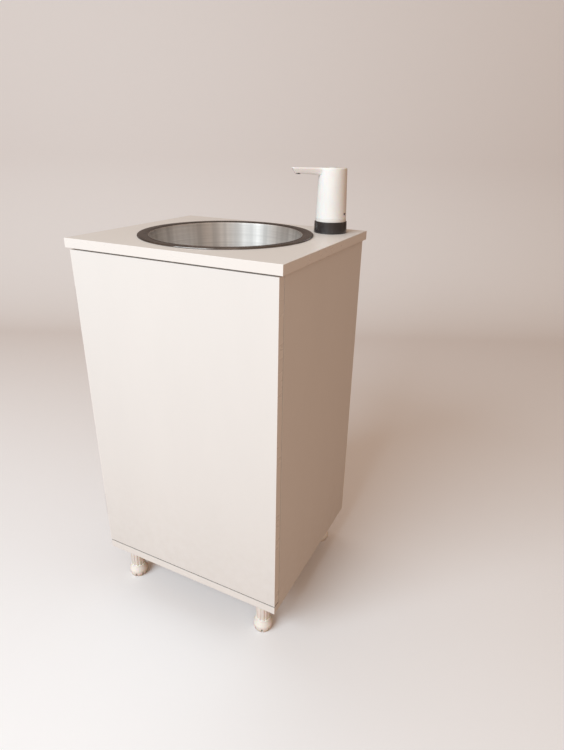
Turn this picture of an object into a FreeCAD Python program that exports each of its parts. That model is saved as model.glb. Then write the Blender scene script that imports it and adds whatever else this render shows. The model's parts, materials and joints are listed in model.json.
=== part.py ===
"""Portable handwash sink: a melamine cabinet on adjustable legs, a round drop-in basin, a
rechargeable pump on the worktop, and a fresh and a waste water jug behind the door.

Frame: origin on the floor under the middle of the worktop, +X to the right, +Y to the back,
+Z up.  All lengths are millimetres."""
import FreeCAD, Part
import math
import os

V = FreeCAD.Vector
UP = V(0, 0, 1)
DOWN = V(0, 0, -1)
RIGHT = V(1, 0, 0)
FORWARD = V(0, -1, 0)

# ---- driving dimensions -------------------------------------------------------------------
top_width = 460.0
top_depth = 400.0
top_height = 824.0            # upper face of the worktop above the floor
board = 18.0                  # melamine board
band = 1.0                    # edge banding
side_overhang = 8.0           # worktop past each side panel
door_setback = 3.5            # door face behind the worktop's front edge
door_gap_top = 3.5
door_gap_bottom = 3.0
door_gap_back = 2.0           # between the closed door and the carcass
back_thickness = 3.0
leg_height = 90.0             # floor to the underside of the bottom board
rail_height = 50.0
slack = 0.05                  # radial room of a screw, dowel or pin in its hole
spring_steps = 12             # circles that a spring is lofted through, for each turn
turning_gap = 0.3             # radial room between parts that turn or slide in each other
tiny = 1e-6

dowel_radius = 4.0
dowel_in_panel = 12.0
dowel_in_rail = 18.0
dowel_pitch = 26.0
dowel_end_room = 0.5

# screws: length, shank radius, head radius
wood_screw = (16.0, 1.9, 3.8)
hinge_screw = (14.0, 1.6, 3.0)
carcass_screw = (50.0, 3.0, 5.0)
worktop_screw = (62.0, 2.4, 4.4)
back_screw = (14.0, 1.5, 2.8)
cross_width = 0.8
cross_reach = 0.55            # cross recess, as a share of the head
tip_share = 0.25              # blunt tip of a screw, as a share of its shank
back_screws_up_side = 5
carcass_screw_inset = 66.0    # from the carcass front and back
worktop_screw_x = 102.0
back_screw_x = 51.0

leg_inset_x = 53.0            # leg axis from the worktop's side edge
leg_inset_front = 37.0
leg_inset_back = 35.0
leg_radius = 15.5
leg_bore = 9.3
leg_flange = 54.0
leg_flange_thickness = 4.0
leg_flange_corner = 6.0
leg_screw_offset = 20.0
leg_flutes = 12
flute_radius = 1.9
foot_height = 30.0
foot_radius = 21.5
foot_sole_radius = 18.5
foot_neck_radius = 17.0
foot_widest = (9.0, 16.5)     # heights between which the bell is widest
foot_bend = 6.0
foot_shoulder = 2.0
foot_shoulder_bend = 3.0
foot_stem_length = 39.0
foot_notches = 8
notch_width = 4.5
notch_height = 11.5
notch_depth = 8.0

hinge_height = 60.0
hinge_end_distance = 70.0     # door end to hinge end
hinge_leaf_thickness = 1.5
hinge_frame_leaf_width = 30.0
hinge_door_leaf_inset = 1.0   # leaf behind the door's face
hinge_screw_from_pin = 18.0
hinge_screw_from_end = 10.0
hinge_knuckle_radius = 3.0
hinge_pin_radius = 1.5
hinge_pin_offset = 3.6        # pin axis outside the side panel
hinge_knuckles = 5
hinge_knuckle_gap = 0.3
hinge_pin_head = (2.6, 1.2)   # radius, thickness

latch_below_worktop = 176.0
latch_width = 14.0
latch_height = 18.0
latch_length = 65.0
latch_bore = 4.3
latch_bore_depth = 44.0
latch_screw_rows = (51.0, 60.0)   # behind the housing's front
latch_screw_in_panel = 11.0
latch_plunger_radius = 4.0
latch_plunger_length = 26.0
latch_plunger_gap = 0.3       # plunger tip to strike plate
latch_recess = 1.0            # housing behind the carcass front
latch_spring_radius = 3.0
latch_wire_radius = 0.4
latch_spring_turns = 6
strike_radius = 9.0
strike_thickness = 1.2
strike_pin_radius = 2.0
strike_pin_length = 9.0

basin_y = 4.0
basin_rim_to_edge = 25.0      # rim to half the worktop's depth
basin_rim_to_collar = 8.0     # least room between the rim and the pump's collar
basin_rim_width = 22.5
basin_taper = 12.0            # how much smaller the bowl is at its floor
basin_depth = 150.0
basin_fall = 4.0              # floor slopes to the drain
basin_flat_radius = 42.0
basin_floor_bend = 45.0
basin_lip_bend = 3.5
basin_rim_bend = 1.8
basin_rim_rise = 3.0
basin_rim_gap = 0.2
basin_sheet = 1.0
basin_cutout_room = 4.5       # worktop cut-out past the bowl's mouth
seal_width = 11.0
seal_inset = 3.0
clip_count = 4
clip_reach = 26.0
clip_width = 14.0
clip_sheet = 1.5
clip_wall_room = 0.15         # weld gap between a clip and the bowl
clip_drop = 18.0              # clip's foot below the worktop
clip_tab = 14.0
clip_screw_radius = 2.0
clip_screw_head = (4.0, 2.5)
clip_screw_inset = 7.0

drain_flange_radius = 34.0
drain_flange_thickness = 2.5
drain_seat_radius = 27.0
drain_seat_depth = 1.2
drain_body_radius = 21.0
drain_bore = 18.0
drain_body_length = 52.0
drain_hole_room = 0.5
gasket_thickness = 3.0
gasket_radius = 33.0
lock_nut_radius = 31.0
lock_nut_thickness = 9.0
tailpiece_radius = 16.0
tailpiece_wall = 1.5
tailpiece_overlap = 22.0      # pipe inside the drain body
tailpiece_in_jug = 18.0
slip_nut_radius = 25.0
slip_nut_height = 16.0
slip_nut_step = 5.0
strainer_room = 0.5
strainer_thickness = 1.2
strainer_hole_radius = 2.0
strainer_inner_ring = 9.5     # radius of a ring of holes
strainer_inner_holes = 6
strainer_outer_ring = 16.5
strainer_outer_holes = 12
strainer_knob = (3.5, 9.0)    # radius, height
knob_stem_radius = 2.1
knob_stem_height = 4.5
knob_bend = 1.4

jug_wall = 2.5
jug_side_bend = 22.0
jug_end_bend = 12.0
jug_neck_height = 28.0
jug_neck_bead = 1.8
jug_neck_bead_height = 5.0
jugs_apart = 12.0
handle_width = 22.0
handle_thickness = 12.0
handle_gap = 30.0
handle_opening = 84.0
handle_post = 18.0
handle_bend = 4.0
fresh_jug_to_side = 4.0       # jug to the cabinet side
fresh_jug_to_front = 26.5     # jug to the carcass front
fresh_jug_height = 400.0
fresh_jug_neck_radius = 26.0
fresh_jug_neck_to_back = 49.0
fresh_jug_handle_to_front = 122.0
waste_jug_to_side = 8.0
waste_jug_to_front = 35.5
waste_jug_height = 330.0
waste_jug_neck_radius = 29.0
waste_jug_neck_to_right = 34.0
waste_jug_handle_to_side = 92.0

pump_from_side = 61.0         # pump axis from the worktop's right edge
pump_from_back = 59.0
spout_turn = 219.7            # direction of the spout, degrees from +X
port_turn = -4.0              # direction of the charging port, degrees from +X
collar_radius = 34.2
collar_top_radius = 33.2
collar_height = 23.0
collar_edge_bend = 1.0
collar_bore = 27.0
collar_floor = 4.0
spigot_radius = 17.0
spigot_bore = 8.0
spigot_past_board = 16.0
collar_nut_radius = 27.0
collar_nut_thickness = 10.0
ring_height = 6.0
ring_floor = 3.0
ring_skirt_bottom = 5.0
ring_skirt_wall = 3.7
ring_floor_hole = 6.0
shell_height = 126.0          # top of the pump above the worktop
shell_bottom_radius = 31.5
shell_top_radius = 28.0
shell_wall = 2.0
shell_edge_bend = 2.5
shell_seam = 0.7
cap_radius = 24.0
cap_thickness = 3.0
spout_reach = 87.0
spout_root = 25.0
spout_root_width = 26.0
spout_tip_width = 15.0
spout_root_height = 14.6
spout_tip_height = 11.6
spout_slant = 7.0
spout_edge_bend = 2.2
spout_channel = 2.6
nozzle_bore = 3.5
nozzle_from_tip = 15.0
button_radius = 8.0
button_rise = 0.9
button_bend = 1.0
button_flange = (10.0, 1.8)   # radius, thickness
button_spring_radius = 4.5
button_wire_radius = 0.5
button_spring_turns = 4
switch_board_radius = 22.0
switch_board_below_top = 18.0
circuit_thickness = 1.6
impeller_radius = 21.0
impeller_height = 13.0
inlet_radius = 3.0
inlet_wall = 1.0
inlet_length = 17.0
motor_radius = 10.0
motor_height = 28.0
motor_at = (3.0, 13.0)
battery_radius = 9.1
battery_length = 65.0
battery_cap = (3.0, 1.0)      # radius, height
battery_at = (-15.0, -8.0)
outlet_tube_radius = 3.0
outlet_tube_bore = 2.0
outlet_tube_x = 19.0
outlet_tube_bend = 5.0
charge_board = (18.0, 30.0)   # width, height
charge_board_radius = 21.0
charge_board_drop = 4.0       # board's lower end below the base ring's top
port_recess = 1.0             # socket behind the shell's face
port_size = (9.0, 3.2)        # width, height
port_above_ring = 8.0
suction_tube_radius = 4.5
suction_tube_end = 12.0       # above the jug's floor

# ---- positions that follow -----------------------------------------------------------------
body_half = top_width / 2 - side_overhang
inner_half = body_half - board
top_under = top_height - board
floor_z = leg_height + board
back_y = top_depth / 2
panel_back_y = back_y - back_thickness
door_front_y = -top_depth / 2 + door_setback
door_back_y = door_front_y + board
carcass_front_y = door_back_y + door_gap_back
door_bottom = floor_z + door_gap_bottom
door_top = top_under - door_gap_top
rail_bottom = top_under - rail_height
pin_x = -body_half - hinge_pin_offset
pin_y = (door_back_y + carcass_front_y) / 2
hinge_bottoms = {
    "lower": door_bottom + hinge_end_distance,
    "upper": door_top - hinge_end_distance - hinge_height,
}
latch_z = top_height - latch_below_worktop
latch_x = inner_half - latch_width / 2
latch_front_y = carcass_front_y + latch_recess
plunger_tip_y = door_back_y + strike_thickness + latch_plunger_gap
basin_floor_z = top_height - basin_depth - basin_fall
pump_x = top_width / 2 - pump_from_side
pump_y = top_depth / 2 - pump_from_back
rim_past_collar = math.hypot(pump_x, pump_y - basin_y) - collar_radius - basin_rim_to_collar
basin_rim_radius = min(top_depth / 2 - basin_rim_to_edge, rim_past_collar)
basin_mouth_radius = basin_rim_radius - basin_rim_width
cutout_radius = basin_mouth_radius + basin_cutout_room
drain_top_z = basin_floor_z + drain_flange_thickness
drain_body_end = drain_top_z - drain_body_length
seat_z = drain_top_z - drain_seat_depth
ring_top = collar_height + ring_height
shell_inner_top = shell_height - cap_thickness
waste_jug_left = -inner_half + waste_jug_to_side
waste_jug_right = waste_jug_neck_to_right
waste_jug_front = carcass_front_y + waste_jug_to_front
waste_jug_back = 2 * basin_y - waste_jug_front
fresh_jug_left = waste_jug_right + jugs_apart
fresh_jug_right = inner_half - fresh_jug_to_side
fresh_jug_front = carcass_front_y + fresh_jug_to_front
fresh_jug_back = pump_y + fresh_jug_neck_to_back

leg_places = {
    "front_left": (-top_width / 2 + leg_inset_x, -top_depth / 2 + leg_inset_front),
    "front_right": (top_width / 2 - leg_inset_x, -top_depth / 2 + leg_inset_front),
    "back_left": (-top_width / 2 + leg_inset_x, top_depth / 2 - leg_inset_back),
    "back_right": (top_width / 2 - leg_inset_x, top_depth / 2 - leg_inset_back),
}


# ---- shapes used again and again -----------------------------------------------------------
def block(x0, x1, y0, y1, z0, z1):
    return Part.makeBox(x1 - x0, y1 - y0, z1 - z0, V(x0, y0, z0))


def rod(radius, x, y, z0, z1):
    return Part.makeCylinder(radius, z1 - z0, V(x, y, z0))


def ring(outer, inner, x, y, z0, z1):
    return rod(outer, x, y, z0, z1).cut(rod(inner, x, y, z0, z1))


def bar(radius, start, direction, length):
    return Part.makeCylinder(radius, length, start, direction)


def one(shape):
    """The same solid with split faces joined."""
    return shape.removeSplitter()


def outline(corners):
    """Closed face in the XZ plane; a corner is (x, z, bend radius), and a bend of 0 is sharp."""
    points = [V(x, 0, z) for x, z, bend in corners]
    stretches = []
    for index, (x, z, bend) in enumerate(corners):
        here = points[index]
        back = (points[index - 1] - here).normalize()
        ahead = (points[(index + 1) % len(points)] - here).normalize()
        if bend == 0:
            stretches.append((here, here, here))
            continue
        half_angle = back.getAngle(ahead) / 2
        reach = bend / math.tan(half_angle)
        depth = bend / math.sin(half_angle) - bend
        middle = here + (back + ahead).normalize() * depth
        stretches.append((here + back * reach, middle, here + ahead * reach))
    edges = []
    for index, (start, middle, end) in enumerate(stretches):
        if start != end:
            edges.append(Part.Arc(start, middle, end).toShape())
        following = stretches[(index + 1) % len(stretches)][0]
        edges.append(Part.LineSegment(end, following).toShape())
    return Part.Face(Part.Wire(edges))


def turned(corners, x, y, z):
    """Solid turned about the upright line through (x, y); heights count from z."""
    solid = outline(corners).revolve(V(0, 0, 0), UP, 360)
    solid.translate(V(x, y, z))
    return solid


def facing(shape, at, direction):
    """A shape made pointing down at the origin, moved so that it points along direction."""
    moved = shape.copy()
    moved.Placement = FreeCAD.Placement(at, FreeCAD.Rotation(DOWN, direction))
    return moved


def screw(size):
    """Countersunk screw with a cross recess; its flat head is at the origin, its tip below."""
    length, radius, head = size
    depth = head - radius
    body = Part.makeCone(head, radius, depth, V(0, 0, 0), DOWN)
    body = body.fuse(bar(radius, V(0, 0, 0), DOWN, length - radius))
    body = body.fuse(Part.makeCone(radius, radius * tip_share, radius, V(0, 0, radius - length), DOWN))
    arm = head * cross_reach
    for across, along in ((arm, cross_width / 2), (cross_width / 2, arm)):
        body = body.cut(block(-across, across, -along, along, -depth, 0))
    return one(body)


def screw_hole(size):
    length, radius, head = size
    depth = head - radius
    cone = Part.makeCone(head + slack, radius + slack, depth, V(0, 0, 0), DOWN)
    return cone.fuse(bar(radius + slack, V(0, 0, 0), DOWN, length + slack))


def screws(size, places):
    piece = screw(size)
    return Part.makeCompound([facing(piece, at, direction) for at, direction in places])


def drilled(shape, *groups):
    """The shape with the holes of every screw group (size, places) cut out of it."""
    for size, places in groups:
        hole = screw_hole(size)
        shape = shape.cut([facing(hole, at, direction) for at, direction in places])
    return shape


def spring(radius, wire, height, turns):
    """Coil spring standing on the origin, lofted through circles set round its helix."""
    rise = height - 2 * wire - 2 * slack
    climb = rise / (2 * math.pi * turns)
    circles = []
    for index in range(turns * spring_steps + 1):
        angle = 2 * math.pi * index / spring_steps
        at = V(radius * math.cos(angle), radius * math.sin(angle), wire + slack + climb * angle)
        along = V(-radius * math.sin(angle), radius * math.cos(angle), climb)
        circles.append(Part.Wire(Part.makeCircle(wire, at, along)))
    return Part.makeLoft(circles, True, True)


# ---- where the fasteners are ---------------------------------------------------------------
def leg_screw_places():
    places = []
    for x, y in leg_places.values():
        for dx in (-leg_screw_offset, leg_screw_offset):
            for dy in (-leg_screw_offset, leg_screw_offset):
                places.append((V(x + dx, y + dy, leg_height - leg_flange_thickness), UP))
    return places


def carcass_screw_places():
    x = body_half - board / 2
    ends = (carcass_front_y + carcass_screw_inset, panel_back_y - carcass_screw_inset)
    return [(V(side * x, y, leg_height), UP) for side in (-1, 1) for y in ends]


def worktop_screw_places():
    rows = (carcass_front_y + board / 2, panel_back_y - board / 2)
    return [(V(side * worktop_screw_x, y, rail_bottom), UP) for side in (-1, 1) for y in rows]


def back_screw_places():
    places = []
    low = leg_height + board / 2
    high = rail_bottom + rail_height / 2
    for side in (-1, 1):
        for step in range(back_screws_up_side):
            z = floor_z + (top_under - floor_z) * (step + 0.5) / back_screws_up_side
            places.append((V(side * (body_half - board / 2), back_y, z), FORWARD))
        for z in (low, high):
            places.append((V(side * back_screw_x, back_y, z), FORWARD))
    return places


def hinge_screw_places(on_door):
    """Three screws to a leaf, all driven towards +X into the panel behind the leaf."""
    x = -body_half - hinge_leaf_thickness
    row = (door_front_y + door_back_y) / 2 if on_door else pin_y + hinge_screw_from_pin
    heights = (hinge_screw_from_end, hinge_height / 2, hinge_height - hinge_screw_from_end)
    return [(V(x, row, low + height), RIGHT) for low in hinge_bottoms.values() for height in heights]


def latch_screw_places():
    x = inner_half - latch_width
    return [(V(x, latch_front_y + row, latch_z), RIGHT) for row in latch_screw_rows]


leg_screws = (wood_screw, leg_screw_places())
carcass_screws = (carcass_screw, carcass_screw_places())
worktop_screws = (worktop_screw, worktop_screw_places())
back_screws = (back_screw, back_screw_places())
frame_hinge_screws = (hinge_screw, hinge_screw_places(False))
door_hinge_screws = (hinge_screw, hinge_screw_places(True))
latch_screw = (latch_width + latch_screw_in_panel, hinge_screw[1], hinge_screw[2])
latch_screws = (latch_screw, latch_screw_places())


def dowels(room):
    """Wooden dowels between the rails and the side panels; room makes their holes."""
    middle = rail_bottom + rail_height / 2
    start = inner_half - dowel_in_rail - room * dowel_end_room
    length = dowel_in_rail + dowel_in_panel + 2 * room * dowel_end_room
    pins = []
    for side in (-1, 1):
        for y in (carcass_front_y + board / 2, panel_back_y - board / 2):
            for dz in (-dowel_pitch / 2, dowel_pitch / 2):
                at = V(side * start, y, middle + dz)
                pins.append(bar(dowel_radius + room * slack, at, RIGHT * side, length))
    return pins


# ---- cabinet -------------------------------------------------------------------------------
def worktop():
    panel = block(-top_width / 2 + band, top_width / 2 - band,
                  -top_depth / 2 + band, top_depth / 2 - band, top_under, top_height)
    panel = panel.cut(rod(cutout_radius, 0, basin_y, top_under, top_height))
    panel = panel.cut(rod(spigot_radius + turning_gap, pump_x, pump_y, top_under, top_height))
    return drilled(panel, worktop_screws)


def band_ring(x0, x1, y0, y1, z0, z1, across):
    """Edge band round a panel; across names the axis through the panel's thickness."""
    shrink = [0 if axis == across else band for axis in "xyz"]
    inner = block(x0 + shrink[0], x1 - shrink[0], y0 + shrink[1], y1 - shrink[1],
                  z0 + shrink[2], z1 - shrink[2])
    return block(x0, x1, y0, y1, z0, z1).cut(inner)


def side_panel(side):
    xs = sorted((side * inner_half, side * body_half))
    panel = block(xs[0], xs[1], carcass_front_y, panel_back_y, floor_z, top_under)
    panel = panel.cut(dowels(1))
    return drilled(panel, carcass_screws, back_screws, frame_hinge_screws, latch_screws)


def bottom_board():
    board_front = door_front_y + band
    panel = block(-body_half, body_half, board_front, panel_back_y, leg_height, floor_z)
    return drilled(panel, leg_screws, carcass_screws, back_screws)


def bottom_board_band():
    return block(-body_half, body_half, door_front_y, door_front_y + band, leg_height, floor_z)


def back_panel():
    panel = block(-body_half, body_half, panel_back_y, back_y, leg_height, top_under)
    return drilled(panel, back_screws)


def rail(y0):
    piece = block(-inner_half, inner_half, y0, y0 + board, rail_bottom, top_under)
    return drilled(piece.cut(dowels(1)), worktop_screws, back_screws)


# ---- legs ----------------------------------------------------------------------------------
def leg(x, y):
    flange_bottom = leg_height - leg_flange_thickness
    half = leg_flange / 2
    flange = block(x - half, x + half, y - half, y + half, flange_bottom, leg_height)
    flange = flange.makeFillet(leg_flange_corner, upright_edges(flange))
    piece = flange.fuse(rod(leg_radius, x, y, foot_height, leg_height))
    for index in range(leg_flutes):
        angle = 2 * math.pi * (index + 0.5) / leg_flutes
        fx = x + leg_radius * math.cos(angle)
        fy = y + leg_radius * math.sin(angle)
        piece = piece.cut(rod(flute_radius, fx, fy, foot_height, flange_bottom - flute_radius))
    piece = piece.cut(rod(leg_bore, x, y, foot_height, leg_height))
    return drilled(one(piece), leg_screws)


def upright_edges(shape):
    return [edge for edge in shape.Edges
            if abs(edge.Vertexes[0].X - edge.Vertexes[-1].X) < tiny
            and abs(edge.Vertexes[0].Y - edge.Vertexes[-1].Y) < tiny]


def foot(x, y):
    """Screw-in foot: bell with finger notches round its sole, and the stem inside the leg."""
    stem = leg_bore - turning_gap
    low, high = foot_widest
    shoulder = foot_height - foot_shoulder
    bell = turned([(0, 0, 0), (foot_sole_radius, 0, 0), (foot_radius, low, foot_bend),
                   (foot_radius, high, foot_bend), (foot_neck_radius, shoulder, foot_shoulder_bend),
                   (foot_neck_radius, foot_height, 0), (0, foot_height, 0)], x, y, 0)
    piece = bell.fuse(rod(stem, x, y, foot_height, foot_height + foot_stem_length))
    notch = block(foot_radius - notch_depth, foot_radius + notch_depth,
                  -notch_width / 2, notch_width / 2, 0, notch_height)
    for index in range(foot_notches):
        cut = notch.copy()
        cut.rotate(V(0, 0, 0), UP, 360 * (index + 0.5) / foot_notches)
        cut.translate(V(x, y, 0))
        piece = piece.cut(cut)
    return one(piece)


# ---- door, hinges and latch ----------------------------------------------------------------
def strike_at():
    return V(latch_x, door_back_y, latch_z)


def door():
    panel = block(-body_half + band, body_half - band, door_front_y, door_back_y,
                  door_bottom + band, door_top - band)
    panel = drilled(panel, door_hinge_screws)
    return panel.cut(bar(strike_pin_radius + slack, strike_at(), FORWARD, strike_pin_length + slack))


def door_band():
    edge = band_ring(-body_half, body_half, door_front_y, door_back_y, door_bottom, door_top, "y")
    return drilled(edge, door_hinge_screws)


def strike_plate():
    at = strike_at()
    plate = bar(strike_radius, at, V(0, 1, 0), strike_thickness)
    return one(plate.fuse(bar(strike_pin_radius, at, FORWARD, strike_pin_length)))


def hinge_leaf(low, on_door):
    """A leaf is a plate on the panel plus its share of the knuckles round the pin."""
    outer = -body_half - hinge_leaf_thickness
    far = door_front_y + hinge_door_leaf_inset if on_door else pin_y + hinge_frame_leaf_width
    near, away = sorted((pin_y, far))
    leaf = block(outer, -body_half, near, away, low, low + hinge_height)
    step = hinge_height / hinge_knuckles
    room = hinge_knuckle_radius + hinge_knuckle_gap
    for index in range(hinge_knuckles):
        bottom = low + index * step
        if (index % 2 == 1) == on_door:
            gap = hinge_knuckle_gap if on_door else 0
            leaf = leaf.fuse(rod(hinge_knuckle_radius, pin_x, pin_y, bottom + gap, bottom + step - gap))
        else:
            leaf = leaf.cut(block(outer, -body_half, pin_y - room, pin_y + room, bottom, bottom + step))
    leaf = leaf.cut(rod(hinge_pin_radius + slack, pin_x, pin_y, low, low + hinge_height))
    return drilled(one(leaf), door_hinge_screws if on_door else frame_hinge_screws)


def hinge_leaves(on_door):
    return Part.makeCompound([hinge_leaf(low, on_door) for low in hinge_bottoms.values()])


def hinge_pins():
    head_radius, head_thickness = hinge_pin_head
    pins = []
    for low in hinge_bottoms.values():
        top = low + hinge_height
        pin = rod(hinge_pin_radius, pin_x, pin_y, low, top)
        pins.append(one(pin.fuse(rod(head_radius, pin_x, pin_y, top, top + head_thickness))))
    return Part.makeCompound(pins)


def latch_housing():
    end = latch_front_y + latch_length
    half = latch_height / 2
    body = block(inner_half - latch_width, inner_half, latch_front_y, end, latch_z - half, latch_z + half)
    bore = bar(latch_bore, V(latch_x, latch_front_y, latch_z), V(0, 1, 0), latch_bore_depth)
    return drilled(body.cut(bore), latch_screws)


def latch_plunger():
    at = V(latch_x, plunger_tip_y, latch_z)
    return bar(latch_plunger_radius, at, V(0, 1, 0), latch_plunger_length)


def latch_spring():
    start = plunger_tip_y + latch_plunger_length
    length = latch_front_y + latch_bore_depth - start
    coil = spring(latch_spring_radius, latch_wire_radius, length, latch_spring_turns)
    coil.rotate(V(0, 0, 0), RIGHT, -90)
    coil.translate(V(latch_x, start, latch_z))
    return coil


# ---- basin and drain -----------------------------------------------------------------------
def bowl_radius(depth):
    """Inner radius of the bowl's straight wall, depth below the worktop's upper face."""
    return basin_mouth_radius - basin_taper * (depth + basin_rim_rise) / (basin_depth + basin_rim_rise)


def basin():
    floor_radius = basin_mouth_radius - basin_taper
    hole = drain_body_radius + drain_hole_room
    sheet = basin_sheet
    low = -basin_depth
    sink = low - basin_fall
    rise = basin_rim_rise
    corners = [
        (basin_rim_radius, basin_rim_gap, 0),
        (basin_rim_radius, rise, basin_rim_bend),
        (basin_mouth_radius, rise, basin_lip_bend),
        (floor_radius, low, basin_floor_bend),
        (basin_flat_radius, sink, 0),
        (hole, sink, 0),
        (hole, sink - sheet, 0),
        (basin_flat_radius, sink - sheet, 0),
        (floor_radius + sheet, low - sheet, basin_floor_bend + sheet),
        (basin_mouth_radius + sheet, rise - sheet, basin_lip_bend - sheet),
        (basin_rim_radius - sheet, rise - sheet, basin_rim_bend - sheet),
        (basin_rim_radius - sheet, basin_rim_gap, 0),
    ]
    return turned(corners, 0, basin_y, top_height)


def basin_seal():
    outer = basin_rim_radius - basin_sheet - seal_inset
    return ring(outer, outer - seal_width, 0, basin_y, top_height, top_height + basin_rim_rise - basin_sheet)


def clip_screw_radius_at():
    return bowl_radius(board) + basin_sheet + clip_reach - clip_screw_inset


def around_basin(piece):
    """Copies of a piece made on the +X side of the basin's axis, one for each clip."""
    copies = []
    for index in range(clip_count):
        copy = piece.copy()
        copy.rotate(V(0, 0, 0), UP, 360 * (index + 0.5) / clip_count)
        copy.translate(V(0, basin_y, 0))
        copies.append(copy)
    return Part.makeCompound(copies)


def basin_clips():
    """Steel angle welded to the bowl; its foot carries the screw under the worktop."""
    foot_z = top_under - clip_drop
    wall = bowl_radius(top_height - foot_z - clip_tab) + basin_sheet + clip_wall_room
    half = clip_width / 2
    tab = block(wall, wall + clip_sheet, -half, half, foot_z, foot_z + clip_tab)
    reach = bowl_radius(board) + basin_sheet + clip_reach
    piece = tab.fuse(block(wall, reach, -half, half, foot_z, foot_z + clip_sheet))
    hole = rod(clip_screw_radius + slack, clip_screw_radius_at(), 0, foot_z, foot_z + clip_sheet)
    return around_basin(one(piece.cut(hole)))


def basin_clip_screws():
    head_radius, head_height = clip_screw_head
    foot_z = top_under - clip_drop
    x = clip_screw_radius_at()
    piece = rod(clip_screw_radius, x, 0, foot_z - head_height, top_under)
    piece = piece.fuse(rod(head_radius, x, 0, foot_z - head_height, foot_z))
    slot = block(x - head_radius, x + head_radius, -cross_width / 2, cross_width / 2,
                 foot_z - head_height, foot_z - head_height / 2)
    return around_basin(one(piece.cut(slot)))


def drain_flange():
    body = rod(drain_flange_radius, 0, basin_y, basin_floor_z, drain_top_z)
    body = body.fuse(rod(drain_body_radius, 0, basin_y, drain_body_end, basin_floor_z))
    body = body.cut(rod(drain_seat_radius, 0, basin_y, seat_z, drain_top_z))
    return one(body.cut(rod(drain_bore, 0, basin_y, drain_body_end, drain_top_z)))


def gasket_top():
    return basin_floor_z - basin_sheet


def drain_gasket():
    top = gasket_top()
    return ring(gasket_radius, drain_body_radius + slack, 0, basin_y, top - gasket_thickness, top)


def hexagon(radius, x, y, z0, z1):
    points = [V(x + radius * math.cos(math.pi * k / 3), y + radius * math.sin(math.pi * k / 3), z0)
              for k in range(6)]
    return Part.Face(Part.makePolygon(points + points[:1])).extrude(V(0, 0, z1 - z0))


def drain_lock_nut():
    top = gasket_top() - gasket_thickness
    nut = hexagon(lock_nut_radius, 0, basin_y, top - lock_nut_thickness, top)
    return nut.cut(rod(drain_body_radius + slack, 0, basin_y, top - lock_nut_thickness, top))


def strainer():
    """Lift-out strainer plate with a small knob, lying in the flange's seat."""
    radius = drain_seat_radius - strainer_room
    plate = rod(radius, 0, basin_y, seat_z, seat_z + strainer_thickness)
    holes = []
    rings = ((strainer_inner_ring, strainer_inner_holes), (strainer_outer_ring, strainer_outer_holes))
    for ring_radius, count in rings:
        for index in range(count):
            angle = 2 * math.pi * index / count
            x = ring_radius * math.cos(angle)
            y = basin_y + ring_radius * math.sin(angle)
            holes.append(rod(strainer_hole_radius, x, y, seat_z, seat_z + strainer_thickness))
    knob_radius, knob_height = strainer_knob
    chamfer_top = knob_stem_height + (knob_radius - knob_stem_radius) / 2
    knob = turned([(0, 0, 0), (knob_stem_radius, 0, 0), (knob_stem_radius, knob_stem_height, 0),
                   (knob_radius, chamfer_top, 0), (knob_radius, knob_height, knob_bend),
                   (0, knob_height, 0)], 0, basin_y, seat_z)
    return one(plate.cut(holes).fuse(knob))


def tailpiece():
    """Straight drain pipe from inside the drain body down into the waste jug's neck."""
    top = drain_body_end + tailpiece_overlap
    low = floor_z + waste_jug_height + jug_neck_height - tailpiece_in_jug
    return ring(tailpiece_radius, tailpiece_radius - tailpiece_wall, 0, basin_y, low, top)


def slip_nut():
    """Nut that grips the pipe below the drain body and screws over the body's end."""
    low = drain_body_end - slip_nut_step
    body = hexagon(slip_nut_radius, 0, basin_y, low, low + slip_nut_height)
    body = body.cut(rod(drain_body_radius + slack, 0, basin_y, drain_body_end, low + slip_nut_height))
    return body.cut(rod(tailpiece_radius + slack, 0, basin_y, low, drain_body_end))


# ---- jugs ----------------------------------------------------------------------------------
def rounded_tank(x0, x1, y0, y1, z0, z1, side_bend, end_bend):
    tank = block(x0, x1, y0, y1, z0, z1)
    tank = tank.makeFillet(side_bend, upright_edges(tank))
    rims = [edge for edge in tank.Edges if abs(edge.BoundBox.ZMin - edge.BoundBox.ZMax) < tiny]
    return tank.makeFillet(end_bend, rims)


def jug(x0, x1, y0, y1, height, neck_x, neck_y, neck_radius, handle_x, handle_y):
    wall = jug_wall
    top = floor_z + height
    tank = rounded_tank(x0, x1, y0, y1, floor_z, top, jug_side_bend, jug_end_bend)
    neck_top = top + jug_neck_height
    tank = tank.fuse(rod(neck_radius, neck_x, neck_y, top - jug_end_bend, neck_top))
    bead_z = neck_top - 2 * jug_neck_bead_height
    bead = rod(neck_radius + jug_neck_bead, neck_x, neck_y, bead_z, bead_z + jug_neck_bead_height)
    tank = tank.fuse(bead)
    half = handle_width / 2
    reach = handle_opening / 2 + handle_post
    grip_top = top + handle_gap + handle_thickness
    grip = block(handle_x - half, handle_x + half, handle_y - reach, handle_y + reach, top - wall, grip_top)
    lengthwise = [edge for edge in grip.Edges
                  if abs(edge.BoundBox.ZMin - grip_top) < tiny]
    grip = grip.makeFillet(handle_bend, lengthwise)
    grip = grip.cut(block(handle_x - half, handle_x + half, handle_y - handle_opening / 2,
                          handle_y + handle_opening / 2, top, top + handle_gap))
    tank = tank.fuse(grip)
    hollow = rounded_tank(x0 + wall, x1 - wall, y0 + wall, y1 - wall, floor_z + wall, top - wall,
                          jug_side_bend - wall, jug_end_bend - wall)
    hollow = hollow.fuse(rod(neck_radius - wall, neck_x, neck_y, top - jug_end_bend, neck_top))
    return one(tank.cut(hollow))


def fresh_jug():
    middle = (fresh_jug_left + fresh_jug_right) / 2
    handle_y = fresh_jug_front + fresh_jug_handle_to_front
    return jug(fresh_jug_left, fresh_jug_right, fresh_jug_front, fresh_jug_back, fresh_jug_height,
               pump_x, pump_y, fresh_jug_neck_radius, middle, handle_y)


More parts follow.
